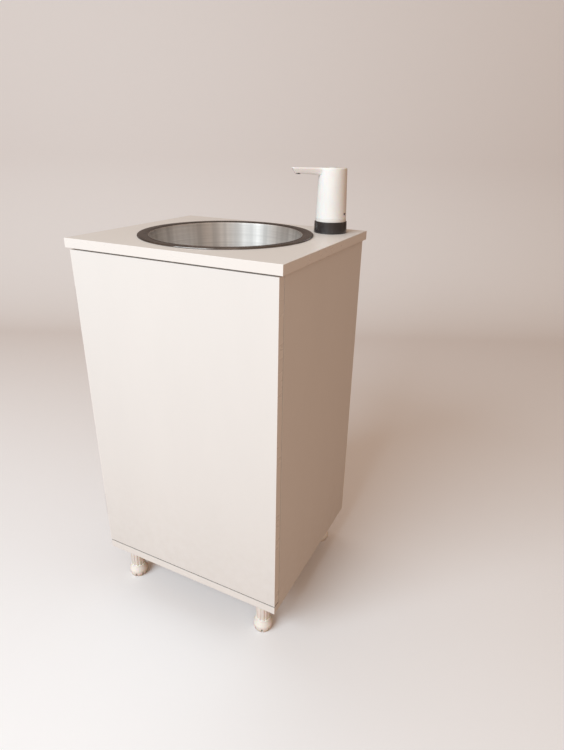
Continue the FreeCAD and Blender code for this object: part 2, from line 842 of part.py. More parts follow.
def waste_jug():
    handle_x = waste_jug_left + waste_jug_handle_to_side
    return jug(waste_jug_left, waste_jug_right, waste_jug_front, waste_jug_back, waste_jug_height,
               0, basin_y, waste_jug_neck_radius, handle_x, basin_y)


# ---- pump: made round the origin with its spout along +X, then stood on the worktop ----------
def on_worktop(shape):
    shape.rotate(V(0, 0, 0), UP, spout_turn)
    shape.translate(V(pump_x, pump_y, top_height))
    return shape


def pump_collar():
    """Black collar: socket for the head above the worktop, threaded spigot through it."""
    spigot_end = -board - spigot_past_board
    return on_worktop(turned([
        (spigot_bore, spigot_end, 0), (spigot_radius, spigot_end, 0), (spigot_radius, 0, 0),
        (collar_radius, 0, 0), (collar_top_radius, collar_height, collar_edge_bend),
        (collar_bore, collar_height, 0), (collar_bore, collar_floor, 0),
        (spigot_bore, collar_floor, 0)], 0, 0, 0))


def collar_nut():
    return on_worktop(hexagon(collar_nut_radius, 0, 0, -board - collar_nut_thickness, -board).cut(
        rod(spigot_radius + slack, 0, 0, -board - collar_nut_thickness, -board)))


def base_ring():
    """Lowest ring of the pump's head; its skirt turns inside the collar."""
    skirt = collar_bore - turning_gap
    inner = shell_bottom_radius - shell_wall
    floor_bottom = collar_height - ring_floor
    return on_worktop(turned([
        (skirt - ring_skirt_wall, ring_skirt_bottom, 0), (skirt, ring_skirt_bottom, 0),
        (skirt, collar_height, 0), (shell_bottom_radius, collar_height, 0),
        (shell_bottom_radius, ring_top, shell_seam), (inner, ring_top, 0),
        (inner, collar_height, 0), (ring_floor_hole, collar_height, 0),
        (ring_floor_hole, floor_bottom, 0), (skirt - ring_skirt_wall, floor_bottom, 0)], 0, 0, 0))


def shell_radius(height):
    share = (height - ring_top) / (shell_height - ring_top)
    return shell_bottom_radius + (shell_top_radius - shell_bottom_radius) * share


def spout_body():
    """Beak of the spout: flat top, narrowing to a tip whose end is cut at a slant."""
    top = shell_height
    side = Part.Face(Part.makePolygon([
        V(spout_root, 0, top), V(spout_root, 0, top - spout_root_height),
        V(spout_reach - spout_slant, 0, top - spout_tip_height),
        V(spout_reach, 0, top), V(spout_root, 0, top)]))
    side.translate(V(0, -top_width, 0))
    beak = side.extrude(V(0, 2 * top_width, 0))
    half_root = spout_root_width / 2
    half_tip = spout_tip_width / 2
    plan = Part.Face(Part.makePolygon([
        V(spout_root, -half_root, 0), V(spout_reach, -half_tip, 0), V(spout_reach, half_tip, 0),
        V(spout_root, half_root, 0), V(spout_root, -half_root, 0)]))
    beak = one(beak.common(plan.extrude(V(0, 0, 2 * top))))
    long_edges = [edge for edge in beak.Edges
                  if edge.BoundBox.XLength > spout_slant and abs(edge.CenterOfMass.y) > half_tip / 2]
    return beak.makeFillet(spout_edge_bend, long_edges)


def channel_z():
    return shell_height - spout_tip_height / 2


def spout():
    piece = spout_body()
    nozzle_x = spout_reach - nozzle_from_tip
    along = bar(spout_channel, V(spout_root, 0, channel_z()), RIGHT, nozzle_x - spout_root)
    down = bar(nozzle_bore, V(nozzle_x, 0, channel_z()), DOWN, spout_root_height)
    return on_worktop(piece.cut([along, down]))


def shell():
    inner_bottom = shell_bottom_radius - shell_wall
    inner_top = shell_radius(shell_inner_top) - shell_wall
    cap_hole = cap_radius + slack
    body = turned([
        (inner_bottom, ring_top, 0), (shell_bottom_radius, ring_top, shell_seam),
        (shell_top_radius, shell_height, shell_edge_bend), (cap_hole, shell_height, 0),
        (cap_hole, shell_inner_top, 0), (inner_top, shell_inner_top, 0)], 0, 0, 0)
    body = body.cut(spout_body())
    body = body.cut(outlet_tube_path(outlet_tube_radius + turning_gap))
    return on_worktop(body.cut(port_block(turning_gap)))


def port_block(room):
    """Space of the charging socket, running out through the shell towards the port."""
    width, height = port_size
    low = ring_top + port_above_ring
    half = width / 2 + room
    piece = block(charge_board_radius + circuit_thickness, shell_bottom_radius + room,
                  -half, half, low - room, low + height + room)
    piece.rotate(V(0, 0, 0), UP, port_turn - spout_turn)
    return piece


def top_cap():
    piece = ring(cap_radius, button_radius + turning_gap, 0, 0, shell_inner_top, shell_height)
    return on_worktop(piece.cut(spout_body()).cut(outlet_tube_path(outlet_tube_radius + turning_gap)))


def button_flange_bottom():
    return shell_inner_top - button_flange[1]


def button():
    flange_radius = button_flange[0]
    low = button_flange_bottom()
    piece = turned([(0, low, 0), (flange_radius, low, 0), (flange_radius, shell_inner_top, 0),
                    (button_radius, shell_inner_top, 0),
                    (button_radius, shell_height + button_rise, button_bend),
                    (0, shell_height + button_rise, 0)], 0, 0, 0)
    return on_worktop(piece)


def switch_top():
    return shell_height - switch_board_below_top + circuit_thickness


def switch_board():
    top = switch_top()
    board_disc = rod(switch_board_radius, 0, 0, top - circuit_thickness, top)
    room = rod(outlet_tube_radius + turning_gap, outlet_tube_x, 0, top - circuit_thickness, top)
    battery = rod(battery_radius + turning_gap, battery_at[0], battery_at[1], 0, top)
    return on_worktop(one(board_disc.cut(room).cut(battery)))


def button_spring():
    height = button_flange_bottom() - switch_top()
    coil = spring(button_spring_radius, button_wire_radius, height, button_spring_turns)
    coil.translate(V(0, 0, switch_top()))
    return on_worktop(coil)


def motor():
    """Motor on its round impeller housing, with the suction nipple below."""
    top = collar_height + impeller_height
    body = rod(impeller_radius, 0, 0, collar_height, top)
    body = body.fuse(rod(motor_radius, motor_at[0], motor_at[1], top, top + motor_height))
    nipple = rod(inlet_radius, 0, 0, collar_height - inlet_length, collar_height)
    body = body.fuse(nipple)
    bore = rod(inlet_radius - inlet_wall, 0, 0, collar_height - inlet_length, top - inlet_wall)
    return on_worktop(one(body.cut(bore)))


def battery():
    low = collar_height + impeller_height
    x, y = battery_at
    cell = rod(battery_radius, x, y, low, low + battery_length)
    end = low + battery_length
    return on_worktop(one(cell.fuse(rod(battery_cap[0], x, y, end, end + battery_cap[1]))))


def outlet_tube_path(radius):
    """Tube from the impeller housing up to the spout's root, with one bend."""
    low = collar_height + impeller_height
    bend = outlet_tube_bend
    x = outlet_tube_x
    top = channel_z()
    corner = V(x + bend * (1 - math.cos(math.pi / 4)), 0, top - bend * (1 - math.sin(math.pi / 4)))
    path = Part.Wire([
        Part.LineSegment(V(x, 0, low), V(x, 0, top - bend)).toShape(),
        Part.Arc(V(x, 0, top - bend), corner, V(x + bend, 0, top)).toShape(),
        Part.LineSegment(V(x + bend, 0, top), V(spout_root, 0, top)).toShape()])
    section = Part.Wire(Part.makeCircle(radius, V(x, 0, low), UP))
    return path.makePipeShell([section], True, False)


def outlet_tube():
    return on_worktop(outlet_tube_path(outlet_tube_radius).cut(outlet_tube_path(outlet_tube_bore)))


def charging_board():
    """Small upright board with the charging socket that shows in the shell's side."""
    width, height = charge_board
    low = ring_top - charge_board_drop
    plate = block(charge_board_radius, charge_board_radius + circuit_thickness,
                  -width / 2, width / 2, low, low + height)
    plate.rotate(V(0, 0, 0), UP, port_turn - spout_turn)
    reach = shell_radius(ring_top + port_above_ring) - port_recess
    socket = port_block(0).common(rod(reach, 0, 0, 0, shell_height))
    return on_worktop(one(plate.fuse(socket)))


def suction_tube():
    low = floor_z + jug_wall + suction_tube_end - top_height
    tube = ring(suction_tube_radius, inlet_radius, 0, 0, low, collar_height - slack)
    return on_worktop(tube)


# ---- all sub-parts -------------------------------------------------------------------------
nodes = {
    "countertop": worktop(),
    "countertop_edge_band": band_ring(-top_width / 2, top_width / 2, -top_depth / 2, top_depth / 2,
                                      top_under, top_height, "z"),
    "side_panel_left": side_panel(-1),
    "side_panel_right": side_panel(1),
    "bottom_board": bottom_board(),
    "bottom_board_edge_band": bottom_board_band(),
    "back_panel": back_panel(),
    "top_rail_front": rail(carcass_front_y),
    "top_rail_back": rail(panel_back_y - board),
    "rail_dowels": Part.makeCompound(dowels(0)),
    "carcass_screws": screws(*carcass_screws),
    "worktop_screws": screws(*worktop_screws),
    "back_panel_screws": screws(*back_screws),
    "leg_screws": screws(*leg_screws),
    "door": door(),
    "door_edge_band": door_band(),
    "strike_plate": strike_plate(),
    "hinge_frame_leaves": hinge_leaves(False),
    "hinge_door_leaves": hinge_leaves(True),
    "hinge_pins": hinge_pins(),
    "hinge_screws_frame": screws(*frame_hinge_screws),
    "hinge_screws_door": screws(*door_hinge_screws),
    "touch_latch_housing": latch_housing(),
    "touch_latch_plunger": latch_plunger(),
    "touch_latch_spring": latch_spring(),
    "touch_latch_screws": screws(*latch_screws),
    "basin": basin(),
    "basin_seal": basin_seal(),
    "basin_clips": basin_clips(),
    "basin_clip_screws": basin_clip_screws(),
    "drain_flange": drain_flange(),
    "drain_gasket": drain_gasket(),
    "drain_lock_nut": drain_lock_nut(),
    "strainer": strainer(),
    "drain_tailpiece": tailpiece(),
    "drain_slip_nut": slip_nut(),
    "fresh_water_jug": fresh_jug(),
    "waste_water_jug": waste_jug(),
    "pump_collar": pump_collar(),
    "pump_collar_nut": collar_nut(),
    "pump_base_ring": base_ring(),
    "pump_shell": shell(),
    "pump_spout": spout(),
    "pump_top_cap": top_cap(),
    "pump_button": button(),
    "pump_button_spring": button_spring(),
    "pump_switch_board": switch_board(),
    "pump_motor": motor(),
    "pump_battery": battery(),
    "pump_outlet_tube": outlet_tube(),
    "pump_charging_board": charging_board(),
    "suction_tube": suction_tube(),
}
for place, (leg_x, leg_y) in leg_places.items():
    nodes["leg_" + place] = leg(leg_x, leg_y)
    nodes["foot_" + place] = foot(leg_x, leg_y)

os.makedirs("parts", exist_ok=True)
for name, shape in nodes.items():
    shape.exportStep(os.path.join("parts", name + ".step"))
    print(name, "solids", len(shape.Solids), "volume", round(shape.Volume), "valid", shape.isValid())
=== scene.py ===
# %% [markdown]
# # A portable handwash sink
# The construction comes packed from CAD: a white melamine cabinet on adjustable legs, a round
# steel basin, a rechargeable pump with a spout, and two water jugs behind the door. This lesson
# dresses it. It keeps each CAD node whose shape is right and only gives it a finish. Where a
# surface needs rounder edges or finer turning than CAD gave it, a new piece takes its place.

# %% Load the frame and keep its box
import json
import math
import bmesh
import bpy
from mathutils import Matrix, Vector

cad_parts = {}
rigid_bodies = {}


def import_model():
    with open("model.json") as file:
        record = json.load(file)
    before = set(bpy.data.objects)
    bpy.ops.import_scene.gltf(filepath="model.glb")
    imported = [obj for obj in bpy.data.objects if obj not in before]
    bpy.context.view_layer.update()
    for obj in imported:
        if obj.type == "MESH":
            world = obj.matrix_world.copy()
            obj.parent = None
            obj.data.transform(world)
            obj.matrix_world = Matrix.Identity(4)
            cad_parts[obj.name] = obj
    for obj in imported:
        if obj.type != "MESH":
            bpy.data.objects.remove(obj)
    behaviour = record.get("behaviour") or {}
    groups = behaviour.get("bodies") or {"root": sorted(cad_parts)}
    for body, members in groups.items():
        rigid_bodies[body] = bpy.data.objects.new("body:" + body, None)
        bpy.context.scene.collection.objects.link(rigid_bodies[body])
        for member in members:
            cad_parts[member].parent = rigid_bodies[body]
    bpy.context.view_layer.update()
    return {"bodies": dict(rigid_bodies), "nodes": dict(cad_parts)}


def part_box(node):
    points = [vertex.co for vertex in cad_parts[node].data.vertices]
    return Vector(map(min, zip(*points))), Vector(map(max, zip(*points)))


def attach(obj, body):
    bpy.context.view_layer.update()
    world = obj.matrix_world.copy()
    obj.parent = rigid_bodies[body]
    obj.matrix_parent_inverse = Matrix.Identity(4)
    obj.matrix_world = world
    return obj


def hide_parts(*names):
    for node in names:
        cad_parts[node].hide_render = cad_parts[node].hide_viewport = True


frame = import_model()
nodes = frame["nodes"]

# %% [markdown]
# ## Where things are
# All places come from the boxes of the CAD nodes, so the dress follows the construction when a
# size changes. A small helper turns a box into its middle and its size.

# %% Read the places from the frame
MM = 0.001


def middle(node):
    low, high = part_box(node)
    return (low + high) / 2


def size(node):
    low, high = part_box(node)
    return high - low


worktop_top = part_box("countertop")[1].z
basin_axis = middle("basin")
pump_axis = middle("pump_collar")
spout_end = middle("pump_spout")
spout_turn = math.atan2(spout_end.y - pump_axis.y, spout_end.x - pump_axis.x)
print("worktop at", round(worktop_top, 4), "spout turned", round(math.degrees(spout_turn), 1))

# %% [markdown]
# ## Small helpers for node trees
# A material is a tree of nodes. These helpers add a node with its settings and join two sockets,
# so that the recipes further down read like recipes. Every socket is named, never numbered,
# unless the node has several sockets of one name.

# %% Node helpers
def add(tree, kind, **settings):
    node = tree.nodes.new(kind)
    for key, value in settings.items():
        setattr(node, key, value)
    return node


def feed(tree, target, socket, source):
    """Set an input: a socket is linked, anything else is its constant value."""
    if isinstance(source, bpy.types.NodeSocket):
        tree.links.new(source, target.inputs[socket])
    else:
        target.inputs[socket].default_value = source


def maths(tree, operation, first, second=0.0, clamp=False):
    node = add(tree, "ShaderNodeMath", operation=operation, use_clamp=clamp)
    feed(tree, node, 0, first)
    feed(tree, node, 1, second)
    return node.outputs["Value"]


def noise(tree, vector, scale, detail=2.0, roughness=0.5):
    node = add(tree, "ShaderNodeTexNoise")
    feed(tree, node, "Vector", vector)
    feed(tree, node, "Scale", scale)
    feed(tree, node, "Detail", detail)
    feed(tree, node, "Roughness", roughness)
    return node.outputs["Fac"]


def between(tree, value, low, high, to_low=0.0, to_high=1.0):
    """Stretch a value so that low..high becomes to_low..to_high, held at both ends."""
    node = add(tree, "ShaderNodeMapRange", clamp=True)
    for socket, source in zip(range(5), (value, low, high, to_low, to_high)):
        feed(tree, node, socket, source)
    return node.outputs["Result"]


def mixed(tree, factor, first, second):
    """Mix two colours by a mask. Sockets 6, 7 and output 2 are the node's colour ones."""
    node = add(tree, "ShaderNodeMix", data_type="RGBA")
    feed(tree, node, "Factor", factor)
    feed(tree, node, 6, first)
    feed(tree, node, 7, second)
    return node.outputs[2]


def group(name, inputs, outputs):
    tree = bpy.data.node_groups.new(name, "ShaderNodeTree")
    for label, kind, value in inputs:
        socket = tree.interface.new_socket(label, in_out="INPUT", socket_type=kind)
        if value is not None:
            socket.default_value = value
    for label, kind in outputs:
        tree.interface.new_socket(label, in_out="OUTPUT", socket_type=kind)
    return tree, tree.nodes.new("NodeGroupInput").outputs, tree.nodes.new("NodeGroupOutput")


def place(tree, effect, **values):
    """Put a shared effect into a material, with this material's own values."""
    node = add(tree, "ShaderNodeGroup", node_tree=effect)
    for label, value in values.items():
        feed(tree, node, label.replace("_", " "), value)
    return node.outputs


FLOAT = "NodeSocketFloat"
VECTOR = "NodeSocketVector"
print("node helpers: add, feed, maths, noise, between, mixed, group, place")

# %% [markdown]
# ## Shared effects
# Real surfaces share a handful of faults and textures: the shallow pores pressed into melamine,
# the orange peel of a moulded part, wipe marks, a darker tone low down in patches, painted shade
# in the gap under the door, and the fine rings of a spun steel bowl with broad upright bands of
# painted reflection. Each one is a node group that puts out masks and heights.

# %% Effect: fine relief
fine_relief, given, out = group(
    "fine relief",
    [("Vector", VECTOR, None), ("Scale", FLOAT, 900.0), ("Depth", FLOAT, 1.0)],
    [("Height", FLOAT), ("Tone", FLOAT)])
small = noise(fine_relief, given["Vector"], given["Scale"], 3.0, 0.6)
wide_scale = maths(fine_relief, "MULTIPLY", given["Scale"], 0.11)
wide = noise(fine_relief, given["Vector"], wide_scale, 2.0)
both = maths(fine_relief, "ADD", maths(fine_relief, "MULTIPLY", small, 0.7),
             maths(fine_relief, "MULTIPLY", wide, 0.3))
feed(fine_relief, out, "Height", maths(fine_relief, "MULTIPLY", both, given["Depth"]))
feed(fine_relief, out, "Tone", both)
print("effect:", fine_relief.name)

# %% Effect: wipe marks, long soft streaks and a few clouds
wipe_marks, given, out = group(
    "wipe marks",
    [("Vector", VECTOR, None), ("Scale", FLOAT, 6.0), ("Stretch", VECTOR, (1.0, 1.0, 0.25))],
    [("Mask", FLOAT)])
stretched = add(wipe_marks, "ShaderNodeVectorMath", operation="MULTIPLY")
feed(wipe_marks, stretched, 0, given["Vector"])
feed(wipe_marks, stretched, 1, given["Stretch"])
clouds = noise(wipe_marks, stretched.outputs["Vector"], given["Scale"], 5.0, 0.62)
feed(wipe_marks, out, "Mask", between(wipe_marks, clouds, 0.38, 0.68))
print("effect:", wipe_marks.name)

# %% Effect: darker low down, strongest at the floor and broken up by noise
darker_low_down, given, out = group(
    "darker low down",
    [("Vector", VECTOR, None), ("Reach", FLOAT, 0.12)],
    [("Mask", FLOAT)])
parts = add(darker_low_down, "ShaderNodeSeparateXYZ")
feed(darker_low_down, parts, "Vector", given["Vector"])
height = maths(darker_low_down, "DIVIDE", parts.outputs["Z"], given["Reach"], clamp=True)
lowness = maths(darker_low_down, "SUBTRACT", 1.0, height)
patches = noise(darker_low_down, given["Vector"], 55.0, 4.0, 0.65)
feed(darker_low_down, out, "Mask", maths(darker_low_down, "MULTIPLY", lowness,
                                     between(darker_low_down, patches, 0.35, 0.75)))
print("effect:", darker_low_down.name)

# %% Effect: painted shade in the gap under the door
carcass_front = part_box("side_panel_right")[0].y
board_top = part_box("bottom_board")[1].z
gap_painted_shade, given, out = group(
    "gap painted shade",
    [("Vector", VECTOR, None), ("Normal", VECTOR, None)],
    [("Mask", FLOAT)])
parts = add(gap_painted_shade, "ShaderNodeSeparateXYZ")
feed(gap_painted_shade, parts, "Vector", given["Vector"])
facing = add(gap_painted_shade, "ShaderNodeSeparateXYZ")
feed(gap_painted_shade, facing, "Vector", given["Normal"])
level = between(gap_painted_shade, facing.outputs["Z"], 0.5, 0.9)
under_door = between(gap_painted_shade, parts.outputs["Y"], carcass_front, carcass_front - 3.5 * MM)
near_floor = between(gap_painted_shade, parts.outputs["Z"], board_top + 42 * MM, board_top + 32 * MM)
# The mask picks the upward faces just behind the door's lower edge; painted shade stands for the
# gap's shadow there.
feed(gap_painted_shade, out, "Mask", maths(gap_painted_shade, "MULTIPLY", level,
                                  maths(gap_painted_shade, "MULTIPLY", under_door, near_floor)))
print("effect:", gap_painted_shade.name)

# %% Effect: spun rings round an upright axis
spun_rings, given, out = group(
    "spun rings",
    [("Vector", VECTOR, None), ("Pitch", FLOAT, 1500.0), ("Streak", FLOAT, 3.0),
     ("Bands", FLOAT, 5.0)],
    [("Height", FLOAT), ("Tone", FLOAT), ("Bands", FLOAT)])
parts = add(spun_rings, "ShaderNodeSeparateXYZ")
feed(spun_rings, parts, "Vector", given["Vector"])
x, y, z = (parts.outputs[axis] for axis in "XYZ")
radius = maths(spun_rings, "SQRT", maths(spun_rings, "ADD", maths(spun_rings, "MULTIPLY", x, x),
                                         maths(spun_rings, "MULTIPLY", y, y)))
safe_radius = maths(spun_rings, "MAXIMUM", radius, 0.001)
toward = [maths(spun_rings, "DIVIDE", value, safe_radius) for value in (x, y)]
ring_place = add(spun_rings, "ShaderNodeCombineXYZ")
band_place = add(spun_rings, "ShaderNodeCombineXYZ")
for axis, value in zip("XY", toward):
    feed(spun_rings, ring_place, axis, maths(spun_rings, "MULTIPLY", value, given["Streak"]))
    feed(spun_rings, band_place, axis, maths(spun_rings, "MULTIPLY", value, given["Bands"]))
down_the_wall = maths(spun_rings, "ADD", radius, z)
feed(spun_rings, ring_place, "Z", maths(spun_rings, "MULTIPLY", down_the_wall, given["Pitch"]))
fine = noise(spun_rings, ring_place.outputs["Vector"], 1.0, 2.0, 0.7)
coarse = noise(spun_rings, ring_place.outputs["Vector"], 0.13, 2.0, 0.5)
feed(spun_rings, out, "Height", fine)
# Broad bands round the axis, painted reflection for the base colour, fading towards the centre.
streaks = noise(spun_rings, band_place.outputs["Vector"], 1.0, 1.0)
centre_radius, wall_radius, centre_share = 0.04, 0.13, 0.55
fade = between(spun_rings, radius, centre_radius, wall_radius, centre_share, 1.0)
feed(spun_rings, out, "Bands", maths(spun_rings, "MULTIPLY", streaks, fade))
feed(spun_rings, out, "Tone", maths(spun_rings, "ADD", maths(spun_rings, "MULTIPLY", fine, 0.6),
                                    maths(spun_rings, "MULTIPLY", coarse, 0.4)))
print("effect:", spun_rings.name)

# %% [markdown]
# ## The frame of a material
# Every finish starts the same way: a Principled shader, the object's own coordinates moved to
# the middle of the piece, and a Bump node that takes a height. A constant goes on the shader's
# own socket, so that it survives an export.

# %% Start and close a material
def start_material(name, centre=(0, 0, 0), **constants):
    material = bpy.data.materials.new(name)
    material.use_nodes = True
    tree = material.node_tree
    shader = tree.nodes["Principled BSDF"]
    for label, value in constants.items():
        shader.inputs[label.replace("_", " ")].default_value = value
    where = add(tree, "ShaderNodeMapping")
    feed(tree, where, "Vector", add(tree, "ShaderNodeTexCoord").outputs["Object"])
    where.inputs["Location"].default_value = [-value for value in centre]
    return material, tree, shader, where.outputs["Vector"]


def bump(tree, shader, height, distance, strength=1.0):
    node = add(tree, "ShaderNodeBump")
    feed(tree, node, "Height", height)
    node.inputs["Distance"].default_value = distance
    node.inputs["Strength"].default_value = strength
    tree.links.new(node.outputs["Normal"], shader.inputs["Normal"])


def rgba(red, green, blue):
    return (red, green, blue, 1.0)


print("material helpers: start_material, bump, rgba")

# %% [markdown]
# ## White melamine
# The boards are chipboard under a resin-soaked paper film. The film is pressed with a faint pore
# texture and reads as a soft satin. A flat white would look like paper, so the tint drifts a
# little, wiping leaves duller and shinier places, and the lowest part is darker in patches. On
# the ledge behind the door's lower edge a soft grey line of painted shade stands for the gap's
# shadow.

# %% Paint the shade of the door's gap onto a tone
# Painted shade: this grey stands for the shadow inside the gap under the door.
painted_gap_shade = rgba(0.31, 0.285, 0.26)


def with_painted_gap_shade(tree, where, tone):
    normal = add(tree, "ShaderNodeTexCoord").outputs["Normal"]
    mask = place(tree, gap_painted_shade, Vector=where, Normal=normal)["Mask"]
    return mixed(tree, maths(tree, "MULTIPLY", mask, 0.85), tone, painted_gap_shade)


print("dust in the gap:", painted_gap_shade[:3])

# %% Finish: melamine
# Mixed in low down, in patches, so the boards grow darker towards the floor.
low_tone = rgba(0.50, 0.45, 0.38)


def melamine(name, colour, shade, roughness, stretch):
    material, tree, shader, where = start_material(name, Specular_IOR_Level=0.45)
    relief = place(tree, fine_relief, Vector=where, Scale=1300.0, Depth=1.0)
    wiped = place(tree, wipe_marks, Vector=where, Scale=5.0, Stretch=stretch)["Mask"]
    low_mask = place(tree, darker_low_down, Vector=where, Reach=0.35)["Mask"]
    tone = mixed(tree, maths(tree, "MULTIPLY", wiped, 0.5), colour, shade)
    tone = mixed(tree, maths(tree, "MULTIPLY", low_mask, 0.16), tone, low_tone)
    # The gap's painted shade goes over the board's tone.
    feed(tree, shader, "Base Color", with_painted_gap_shade(tree, where, tone))
    rough = maths(tree, "ADD", maths(tree, "MULTIPLY", wiped, 0.10),
                  maths(tree, "MULTIPLY", relief["Tone"], 0.08))
    feed(tree, shader, "Roughness", maths(tree, "ADD", rough, roughness))
    bump(tree, shader, relief["Height"], 0.00006, 0.55)
    return material


white_board = melamine("white melamine", rgba(0.825, 0.84, 0.85), rgba(0.785, 0.80, 0.81),
                       roughness=0.27, stretch=(1.0, 1.0, 0.3))
worktop_board = melamine("worktop melamine", rgba(0.84, 0.825, 0.805), rgba(0.79, 0.77, 0.75),
                         roughness=0.30, stretch=(1.0, 0.35, 1.0))
print("materials:", white_board.name, "and", worktop_board.name)

# %% [markdown]
# ## Edge banding
# The band is a strip of solid plastic ironed over the raw board edge and trimmed with a knife.
# Its face is a touch brighter and smoother than the board, with faint lengthwise drag lines.

# %% Finish: edge band
def edge_banding():
    material, tree, shader, where = start_material("edge banding", Specular_IOR_Level=0.5)
    relief = place(tree, fine_relief, Vector=where, Scale=700.0, Depth=1.0)
    drag = place(tree, wipe_marks, Vector=where, Scale=14.0, Stretch=(0.3, 0.3, 1.0))["Mask"]
    tone = mixed(tree, maths(tree, "MULTIPLY", drag, 0.25), rgba(0.865, 0.875, 0.88),
                 rgba(0.86, 0.845, 0.82))
    low_mask = place(tree, darker_low_down, Vector=where, Reach=0.25)["Mask"]
    tone = mixed(tree, maths(tree, "MULTIPLY", low_mask, 0.12), tone, rgba(0.48, 0.43, 0.37))
    # The gap's painted shade lies on the bottom band's top, where the door's shadow falls.
    feed(tree, shader, "Base Color", with_painted_gap_shade(tree, where, tone))
    feed(tree, shader, "Roughness", maths(tree, "ADD", maths(tree, "MULTIPLY", drag, 0.08), 0.26))
    bump(tree, shader, relief["Height"], 0.00005, 0.5)
    return material


edge_band = edge_banding()
print("material:", edge_band.name)

# %% [markdown]
# ## Hardboard and beech
# The back is thin hardboard, lacquered white on a fibrous core, so its relief is coarser and its
# gloss uneven. The dowels are beech with short dark flecks along the grain.

# %% Finishes: hardboard and beech
def fibrous(name, light, dark, scale, stretch, roughness):
    material, tree, shader, where = start_material(name, Specular_IOR_Level=0.3)
    fleck = place(tree, wipe_marks, Vector=where, Scale=scale, Stretch=stretch)["Mask"]
    relief = place(tree, fine_relief, Vector=where, Scale=420.0, Depth=1.0)
    feed(tree, shader, "Base Color", mixed(tree, maths(tree, "MULTIPLY", fleck, 0.6), light, dark))
    feed(tree, shader, "Roughness",
         maths(tree, "ADD", maths(tree, "MULTIPLY", relief["Tone"], 0.2), roughness))
    bump(tree, shader, relief["Height"], 0.00015, 0.6)
    return material


hardboard = fibrous("white hardboard", rgba(0.78, 0.765, 0.73), rgba(0.66, 0.63, 0.58),
                    scale=140.0, stretch=(1.0, 1.0, 0.8), roughness=0.48)
beech = fibrous("beech", rgba(0.66, 0.47, 0.28), rgba(0.42, 0.26, 0.14),
                scale=320.0, stretch=(0.15, 1.0, 1.0), roughness=0.5)
print("materials:", hardboard.name, beech.name)

# %% [markdown]
# ## Spun stainless steel
# The bowl is spun from sheet and brushed round its axis, so a highlight is drawn out into upright
# bands while fine rings run round the wall. Anisotropy with a radial tangent, given a quarter
# turn, does the first, and the spun rings do the second. Broad bands of darker steel, painted
# reflection, run down the wall and fade on the bowl's floor. Water spots dry on the steel as
# slightly duller dots.

# %% Finishes: basin steel and polished steel
quarter_turn = 0.25


def spun_steel(name, centre, colour, roughness, anisotropy, ring_depth):
    material, tree, shader, where = start_material(
        name, centre, Metallic=1.0, Anisotropic=anisotropy, Anisotropic_Rotation=quarter_turn)
    rings = place(tree, spun_rings, Vector=where, Pitch=900.0, Streak=0.7, Bands=8.0)
    broad = noise(tree, where, 9.0, 0.0)
    spots = between(tree, noise(tree, where, 260.0, 0.0), 0.76, 0.82)
    ring_shade = rgba(*(0.76 * value for value in colour))
    # Painted reflection: the darker bands stand for the upright reflected bands of brushed steel.
    painted_reflection_band = rgba(*(0.58 * value for value in colour))
    tone = mixed(tree, between(tree, rings["Tone"], 0.35, 0.65), rgba(*colour), ring_shade)
    bands = between(tree, rings["Bands"], 0.38, 0.62)
    tone = mixed(tree, maths(tree, "MULTIPLY", bands, 0.6), tone, painted_reflection_band)
    feed(tree, shader, "Base Color",
         mixed(tree, maths(tree, "MULTIPLY", spots, 0.15), tone, rgba(0.74, 0.73, 0.70)))
    rough = maths(tree, "ADD", maths(tree, "MULTIPLY", broad, 0.03),
                  maths(tree, "MULTIPLY", spots, 0.06))
    rough = maths(tree, "ADD", rough, maths(tree, "MULTIPLY", rings["Tone"], 0.05))
    rough = maths(tree, "ADD", rough, maths(tree, "MULTIPLY", bands, 0.06))
    feed(tree, shader, "Roughness", maths(tree, "ADD", rough, roughness))
    tangent = add(tree, "ShaderNodeTangent", direction_type="RADIAL", axis="Z")
    tree.links.new(tangent.outputs["Tangent"], shader.inputs["Tangent"])
    bump(tree, shader, rings["Height"], ring_depth, 0.15)
    return material


basin_steel = spun_steel("basin steel", basin_axis, (0.84, 0.825, 0.81),
                         roughness=0.48, anisotropy=0.45, ring_depth=0.000010)
# Painted reflection: the flange's steel colour is dark to stand for the dim room it mirrors.
rim_steel_painted_dark = spun_steel("basin rim steel painted dark", basin_axis, (0.24, 0.22, 0.21),
                       roughness=0.12, anisotropy=0.3, ring_depth=0.000005)
polished_steel = spun_steel("polished steel", basin_axis, (0.72, 0.72, 0.71),
                            roughness=0.08, anisotropy=0.2, ring_depth=0.00002)
print("materials:", basin_steel.name, rim_steel_painted_dark.name, polished_steel.name)

# %% [markdown]
# ## Zinc-plated steel
# Screws, hinges and clips are bright zinc: crystals give the plating a faint cloudy spangle, and
# handling dulls it in patches.

# %% Finish: zinc plate
def zinc_plate():
    material, tree, shader, where = start_material("zinc plate", Metallic=1.0)
    cells = add(tree, "ShaderNodeTexVoronoi")
    feed(tree, cells, "Vector", where)
    cells.inputs["Scale"].default_value = 600.0
    worn = place(tree, wipe_marks, Vector=where, Scale=90.0, Stretch=(1.0, 1.0, 1.0))["Mask"]
    tone = mixed(tree, cells.outputs["Distance"], rgba(0.66, 0.67, 0.68), rgba(0.54, 0.55, 0.57))
    feed(tree, shader, "Base Color",
         mixed(tree, maths(tree, "MULTIPLY", worn, 0.4), tone, rgba(0.60, 0.58, 0.53)))
    feed(tree, shader, "Roughness", maths(tree, "ADD", maths(tree, "MULTIPLY", worn, 0.2), 0.26))
    relief = place(tree, fine_relief, Vector=where, Scale=2500.0, Depth=1.0)
    bump(tree, shader, relief["Height"], 0.00003, 0.5)
    return material


zinc = zinc_plate()
print("material:", zinc.name)
